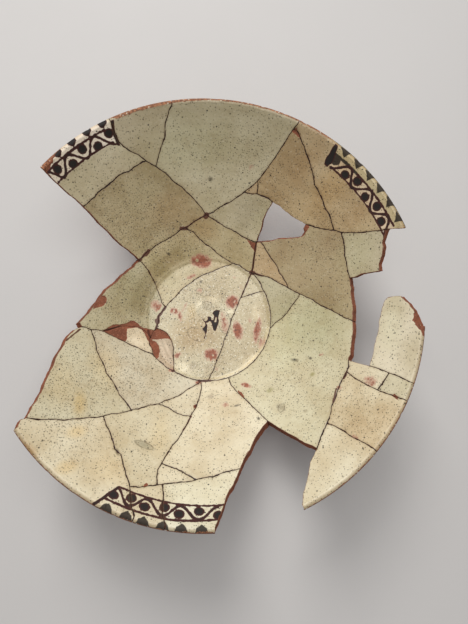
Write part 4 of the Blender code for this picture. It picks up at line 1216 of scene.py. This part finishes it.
def outside_finish(clay):
    """The turned outside: red clay with wheel marks, slip near the rim and a worn brown lip."""
    f = Finish("turned_outside")
    split = f.add("ShaderNodeSeparateXYZ")
    f.feed(split.inputs[0], f.place)
    height = split.outputs[2]
    colour = clay_colour(f, shaded(clay, 1.06))
    drip = f.swing(f.noise(22.0, 4.0, 0.55), 22.0 * MM)
    slip = f.step(f.plus(height, drip), *OUTSIDE_SLIP_STARTS)
    cover = f.mix(f.step(f.noise(6.0, 4.0, 0.7), 0.3, 0.62), linear(190, 160, 124), linear(214, 202, 168))
    colour = f.over(colour, slip, 0.92, cover)
    fret = f.swing(f.noise(2.2, 4.0, 0.7), 4.0 * MM)
    lip = f.step(f.plus(height, fret), *OUTSIDE_LIP_STARTS)
    colour = f.over(colour, lip, 0.9, linear(128, 78, 56))
    colour = f.over(colour, f.step(f.noise(18.0, 4.0, 0.65), 0.52, 0.74), 0.4, linear(92, 66, 50))
    rings = f.add("ShaderNodeTexWave", wave_type="BANDS", bands_direction="Z")
    f.feed(rings.inputs["Vector"], f.place)
    rings.inputs["Scale"].default_value = WHEEL_MARK_SCALE
    rings.inputs["Distortion"].default_value = 1.2
    relief = f.plus(f.times(rings.outputs["Fac"], 0.9), f.noise(1.1, 4.0, 0.65))
    rough = f.sum("SUBTRACT", 0.84, f.times(slip, 0.34))
    return f.finish(colour, rough, relief, 0.16, shine=0.35)


def adhesive_finish(colour):
    """Old brown adhesive, cloudy and half glossy."""
    f = Finish("old_adhesive")
    tint = f.mix(f.step(f.noise(2.0, 4.0, 0.65), 0.42, 0.7), colour, shaded(colour, 1.9))
    return f.finish(tint, 0.6, f.noise(0.9, 3.0), 0.08, shine=0.2)


def floor_finish(colour):
    """A plain pale floor."""
    f = Finish("pale_floor")
    tint = f.mix(f.noise(160.0, 3.0), colour, shaded(colour, 0.94))
    return f.finish(tint, 0.7, f.noise(2.5, 3.0), 0.05)


# ---------------------------------------------------------------- joins
def find_joins(outlines):
    """For each outline point, the number of the sherd it is joined to, or -1, and the midpoint."""
    joins = []
    every = np.vstack([loop for loop, _ in outlines])
    owner = np.concatenate([np.full(len(loop), i) for i, (loop, _) in enumerate(outlines)])
    for number, (loop, _) in enumerate(outlines):
        away = ((loop[:, None, :] - every) ** 2).sum(-1)
        away[:, owner == number] = np.inf
        nearest = away.argmin(1)
        reach = np.sqrt(away[np.arange(len(loop)), nearest])
        partner = np.where(reach < JOIN_REACH, owner[nearest], -1)
        joins.append((partner, (loop + every[nearest]) / 2.0))
    return joins


def seam_lines(joins):
    """Plan lines along the middle of each join, one for each pair of sherds and stretch."""
    lines = []
    for number, (partner, middle) in enumerate(joins):
        count = len(partner)
        starts = [i for i in range(count) if partner[i] > number and partner[i] != partner[i - 1]]
        for start in starts:
            run = [start]
            while partner[(run[-1] + 1) % count] == partner[start] and len(run) < count:
                run.append((run[-1] + 1) % count)
            if len(run) > 3:
                points = middle[run]
                smooth = (points[:-2] + points[1:-1] * 2.0 + points[2:]) / 4.0
                lines.append(np.vstack([points[:1], smooth[::2], points[-1:]]))
    return lines


def seam_guide(lines, depth_share):
    """A mesh of the seams' lines, lying at a share of the way through the wall."""
    places, edges, swell = [], [], []
    for line in lines:
        inner, through, _, _ = wall_frame(line)
        wall = thickness(plan_radius(line))
        top = BEAD_DEPTH - glaze_relief(line)
        down = top + (wall - BEAD_DEPTH - top) * depth_share
        first = len(places)
        places.extend((inner + through * down[:, None]).tolist())
        edges.extend((i, i + 1) for i in range(first, len(places) - 1))
        thick = 0.7 * smoothstep(-smear_distance(line), -0.3, 0.6) * (1.0 - depth_share)
        swell.extend(0.8 + 0.25 * noise(line, 4.0, 41) + thick)
    guide = bpy.data.meshes.new("seam_guide")
    guide.from_pydata((np.array(places) * MM).tolist(), edges, [])
    add_values(guide, "swell", np.array(swell))
    return guide


def bead_tree():
    """Geometry Nodes that run a bead of adhesive along the edges of a guide mesh."""
    tree = bpy.data.node_groups.new("adhesive_bead", "GeometryNodeTree")
    face = tree.interface
    face.new_socket("Guide", in_out="INPUT", socket_type="NodeSocketGeometry")
    radius = face.new_socket("Bead Radius", in_out="INPUT", socket_type="NodeSocketFloat")
    radius.default_value = BEAD_RADIUS
    sides = face.new_socket("Sides", in_out="INPUT", socket_type="NodeSocketInt")
    sides.default_value = BEAD_SIDES
    face.new_socket("Material", in_out="INPUT", socket_type="NodeSocketMaterial")
    face.new_socket("Bead", in_out="OUTPUT", socket_type="NodeSocketGeometry")
    add, link = tree.nodes.new, tree.links.new
    start, end = add("NodeGroupInput"), add("NodeGroupOutput")
    curve = add("GeometryNodeMeshToCurve")
    link(start.outputs["Guide"], curve.inputs["Mesh"])
    swell = add("GeometryNodeInputNamedAttribute")
    swell.data_type = "FLOAT"
    swell.inputs["Name"].default_value = "swell"
    sized = add("GeometryNodeSetCurveRadius")
    link(curve.outputs["Curve"], sized.inputs["Curve"])
    link(swell.outputs["Attribute"], sized.inputs["Radius"])
    profile = add("GeometryNodeCurvePrimitiveCircle")
    link(start.outputs["Sides"], profile.inputs["Resolution"])
    link(start.outputs["Bead Radius"], profile.inputs["Radius"])
    tube = add("GeometryNodeCurveToMesh")
    tube.inputs["Fill Caps"].default_value = True
    link(sized.outputs["Curve"], tube.inputs["Curve"])
    link(profile.outputs["Curve"], tube.inputs["Profile Curve"])
    link(swell.outputs["Attribute"], tube.inputs["Scale"])
    real = add("GeometryNodeRealizeInstances")
    link(tube.outputs["Mesh"], real.inputs["Geometry"])
    coat = add("GeometryNodeSetMaterial")
    link(real.outputs["Geometry"], coat.inputs["Geometry"])
    link(start.outputs["Material"], coat.inputs["Material"])
    link(coat.outputs["Geometry"], end.inputs["Bead"])
    return tree


def grown_mesh(guide, tree, values):
    """The plain mesh that a tree grows on a guide, with the modifier removed."""
    worker = bpy.data.objects.new("seam_worker", guide)
    bpy.context.scene.collection.objects.link(worker)
    modifier = worker.modifiers.new("Bead", "NODES")
    modifier.node_group = tree
    for item in tree.interface.items_tree:
        if item.in_out == "INPUT" and item.name in values:
            modifier[item.identifier] = values[item.name]
    graph = bpy.context.evaluated_depsgraph_get()
    mesh = bpy.data.meshes.new_from_object(worker.evaluated_get(graph), depsgraph=graph)
    worker.modifiers.remove(modifier)
    bpy.data.objects.remove(worker)
    return mesh


def place_piece(name, mesh):
    """A finished piece at the origin that rides with the bowl."""
    piece = bpy.data.objects.new(name, mesh)
    bpy.context.scene.collection.objects.link(piece)
    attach(piece, "root")
    return piece


def sherd_outlines(wander):
    """Every sherd's outline and which of its points lie on the rim, in the order of their names."""
    return [fine_outline(packed_outline(node), wander) for node in sorted(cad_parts)]


# ---------------------------------------------------------------- operators
class BOWL_OT_sherds(bpy.types.Operator):
    """Build every sherd with its glaze, breaks and turned outside"""

    bl_idname = "bowl.sherds"
    bl_label = "Build Sherds"

    def execute(self, context):
        settings = context.scene.bowl_sherds
        clay, paint = tuple(settings.clay_colour), tuple(settings.paint_colour)
        glazes = {tone: glaze_finish(tone, clay, paint) for tone in TONES}
        broken, outside = break_finish(clay), outside_finish(clay)
        outlines = sherd_outlines(settings.edge_wander / MM)
        joins = find_joins(outlines)
        for node, (loop, rim), (partner, _) in zip(sorted(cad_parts), outlines, joins):
            gain = SHERD_GAINS.get(node, (1.0, 1.0, 1.0))
            mesh = sherd_mesh("fine_" + node, loop, rim, partner >= 0, settings.break_relief / MM, gain)
            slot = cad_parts[node].data.materials[0].name
            for material in (glazes[slot.removeprefix("glaze_")], broken, outside):
                mesh.materials.append(material)
            piece = place_piece("fine_" + node, mesh)
            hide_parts(node)
        return {"FINISHED"}


class BOWL_OT_adhesive(bpy.types.Operator):
    """Run beads of old adhesive along the joins, on the glazed face and on the outside"""

    bl_idname = "bowl.adhesive"
    bl_label = "Build Adhesive"

    def execute(self, context):
        settings = context.scene.bowl_adhesive
        wander = context.scene.bowl_sherds.edge_wander / MM
        lines = seam_lines(find_joins(sherd_outlines(wander)))
        if not lines:
            raise RuntimeError("no two sherds are close enough to join")
        tree, coat = bead_tree(), adhesive_finish(tuple(settings.colour))
        values = {"Bead Radius": settings.bead_radius, "Sides": BEAD_SIDES, "Material": coat}
        for name, share in (("adhesive_glazed_face", 0.0), ("adhesive_outside", 1.0)):
            mesh = grown_mesh(seam_guide(lines, share), tree, values)
            mesh.name = name
            place_piece(name, mesh)
        return {"FINISHED"}


class BOWL_OT_stage(bpy.types.Operator):
    """Set the pale floor, the soft light and the camera"""

    bl_idname = "bowl.stage"
    bl_label = "Set Stage"

    def execute(self, context):
        settings = context.scene.bowl_stage
        floor = bpy.data.meshes.new("floor")
        size = FLOOR_HALF_SIZE
        corners = [(-size, -size, 0), (size, -size, 0), (size, size, 0), (-size, size, 0)]
        floor.from_pydata(corners, [], [(0, 1, 2, 3)])
        floor.materials.append(floor_finish(tuple(settings.floor_colour)))
        floor_object = bpy.data.objects.new("floor", floor)
        context.scene.collection.objects.link(floor_object)
        floor_object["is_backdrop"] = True
        for name, place, width, share in LIGHTS:
            add_light(name, place, width, settings.key_power * share)
        world = bpy.data.worlds.new("studio")
        world.use_nodes = True
        background = world.node_tree.nodes["Background"]
        background.inputs["Color"].default_value = (*linear(236, 238, 243), 1.0)
        background.inputs["Strength"].default_value = settings.fill_strength
        context.scene.world = world
        context.scene.view_settings.view_transform = "Standard"
        add_camera(context)
        return {"FINISHED"}


def add_light(name, place, size, power):
    """A square light that faces the bowl."""
    data = bpy.data.lights.new(name, "AREA")
    data.size = size
    data.energy = power
    light = bpy.data.objects.new(name, data)
    light.location = place
    light.rotation_euler = (-Vector(place)).to_track_quat("-Z", "Y").to_euler()
    bpy.context.scene.collection.objects.link(light)


def add_camera(context):
    """A camera close above the bowl, tipped a little towards its far side."""
    data = bpy.data.cameras.new("camera")
    data.lens = CAMERA_LENS
    data.clip_start = CAMERA_NEAR
    camera = bpy.data.objects.new("camera", data)
    camera.location = CAMERA_PLACE
    camera.rotation_mode = "QUATERNION"
    camera.rotation_quaternion = Quaternion(CAMERA_AXIS, CAMERA_TURN)
    context.scene.collection.objects.link(camera)
    context.scene.camera = camera


class BOWL_PT_panel(bpy.types.Panel):
    """The bowl's pieces and settings"""

    bl_idname = "BOWL_PT_panel"
    bl_label = "Mended Bowl"
    bl_space_type = "VIEW_3D"
    bl_region_type = "UI"
    bl_category = "Bowl"

    def draw(self, context):
        for settings, operator, names in (
                (context.scene.bowl_sherds, BOWL_OT_sherds,
                 ("edge_wander", "break_relief", "clay_colour", "paint_colour")),
                (context.scene.bowl_adhesive, BOWL_OT_adhesive, ("bead_radius", "colour")),
                (context.scene.bowl_stage, BOWL_OT_stage, ("floor_colour", "key_power", "fill_strength"))):
            box = self.layout.box()
            for name in names:
                box.prop(settings, name)
            box.operator(operator.bl_idname)


CLASSES = (BowlSherdSettings, BowlAdhesiveSettings, BowlStageSettings,
           BOWL_OT_sherds, BOWL_OT_adhesive, BOWL_OT_stage, BOWL_PT_panel)


def register():
    """Add the classes, and the scene's settings that they read."""
    for item in CLASSES:
        bpy.utils.register_class(item)
    bpy.types.Scene.bowl_sherds = PointerProperty(type=BowlSherdSettings)
    bpy.types.Scene.bowl_adhesive = PointerProperty(type=BowlAdhesiveSettings)
    bpy.types.Scene.bowl_stage = PointerProperty(type=BowlStageSettings)


def unregister():
    """Take away what register added."""
    del bpy.types.Scene.bowl_stage
    del bpy.types.Scene.bowl_adhesive
    del bpy.types.Scene.bowl_sherds
    for item in reversed(CLASSES):
        bpy.utils.unregister_class(item)


def main():
    """Build everything in order."""
    register()
    bpy.ops.bowl.sherds()
    bpy.ops.bowl.adhesive()
    bpy.ops.bowl.stage()
    boxes = {"cad": CAD_BOX, "visual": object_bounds()}
    plain = {name: [[float(value) for value in corner] for corner in box] for name, box in boxes.items()}


if __name__ == "__main__":
    main()
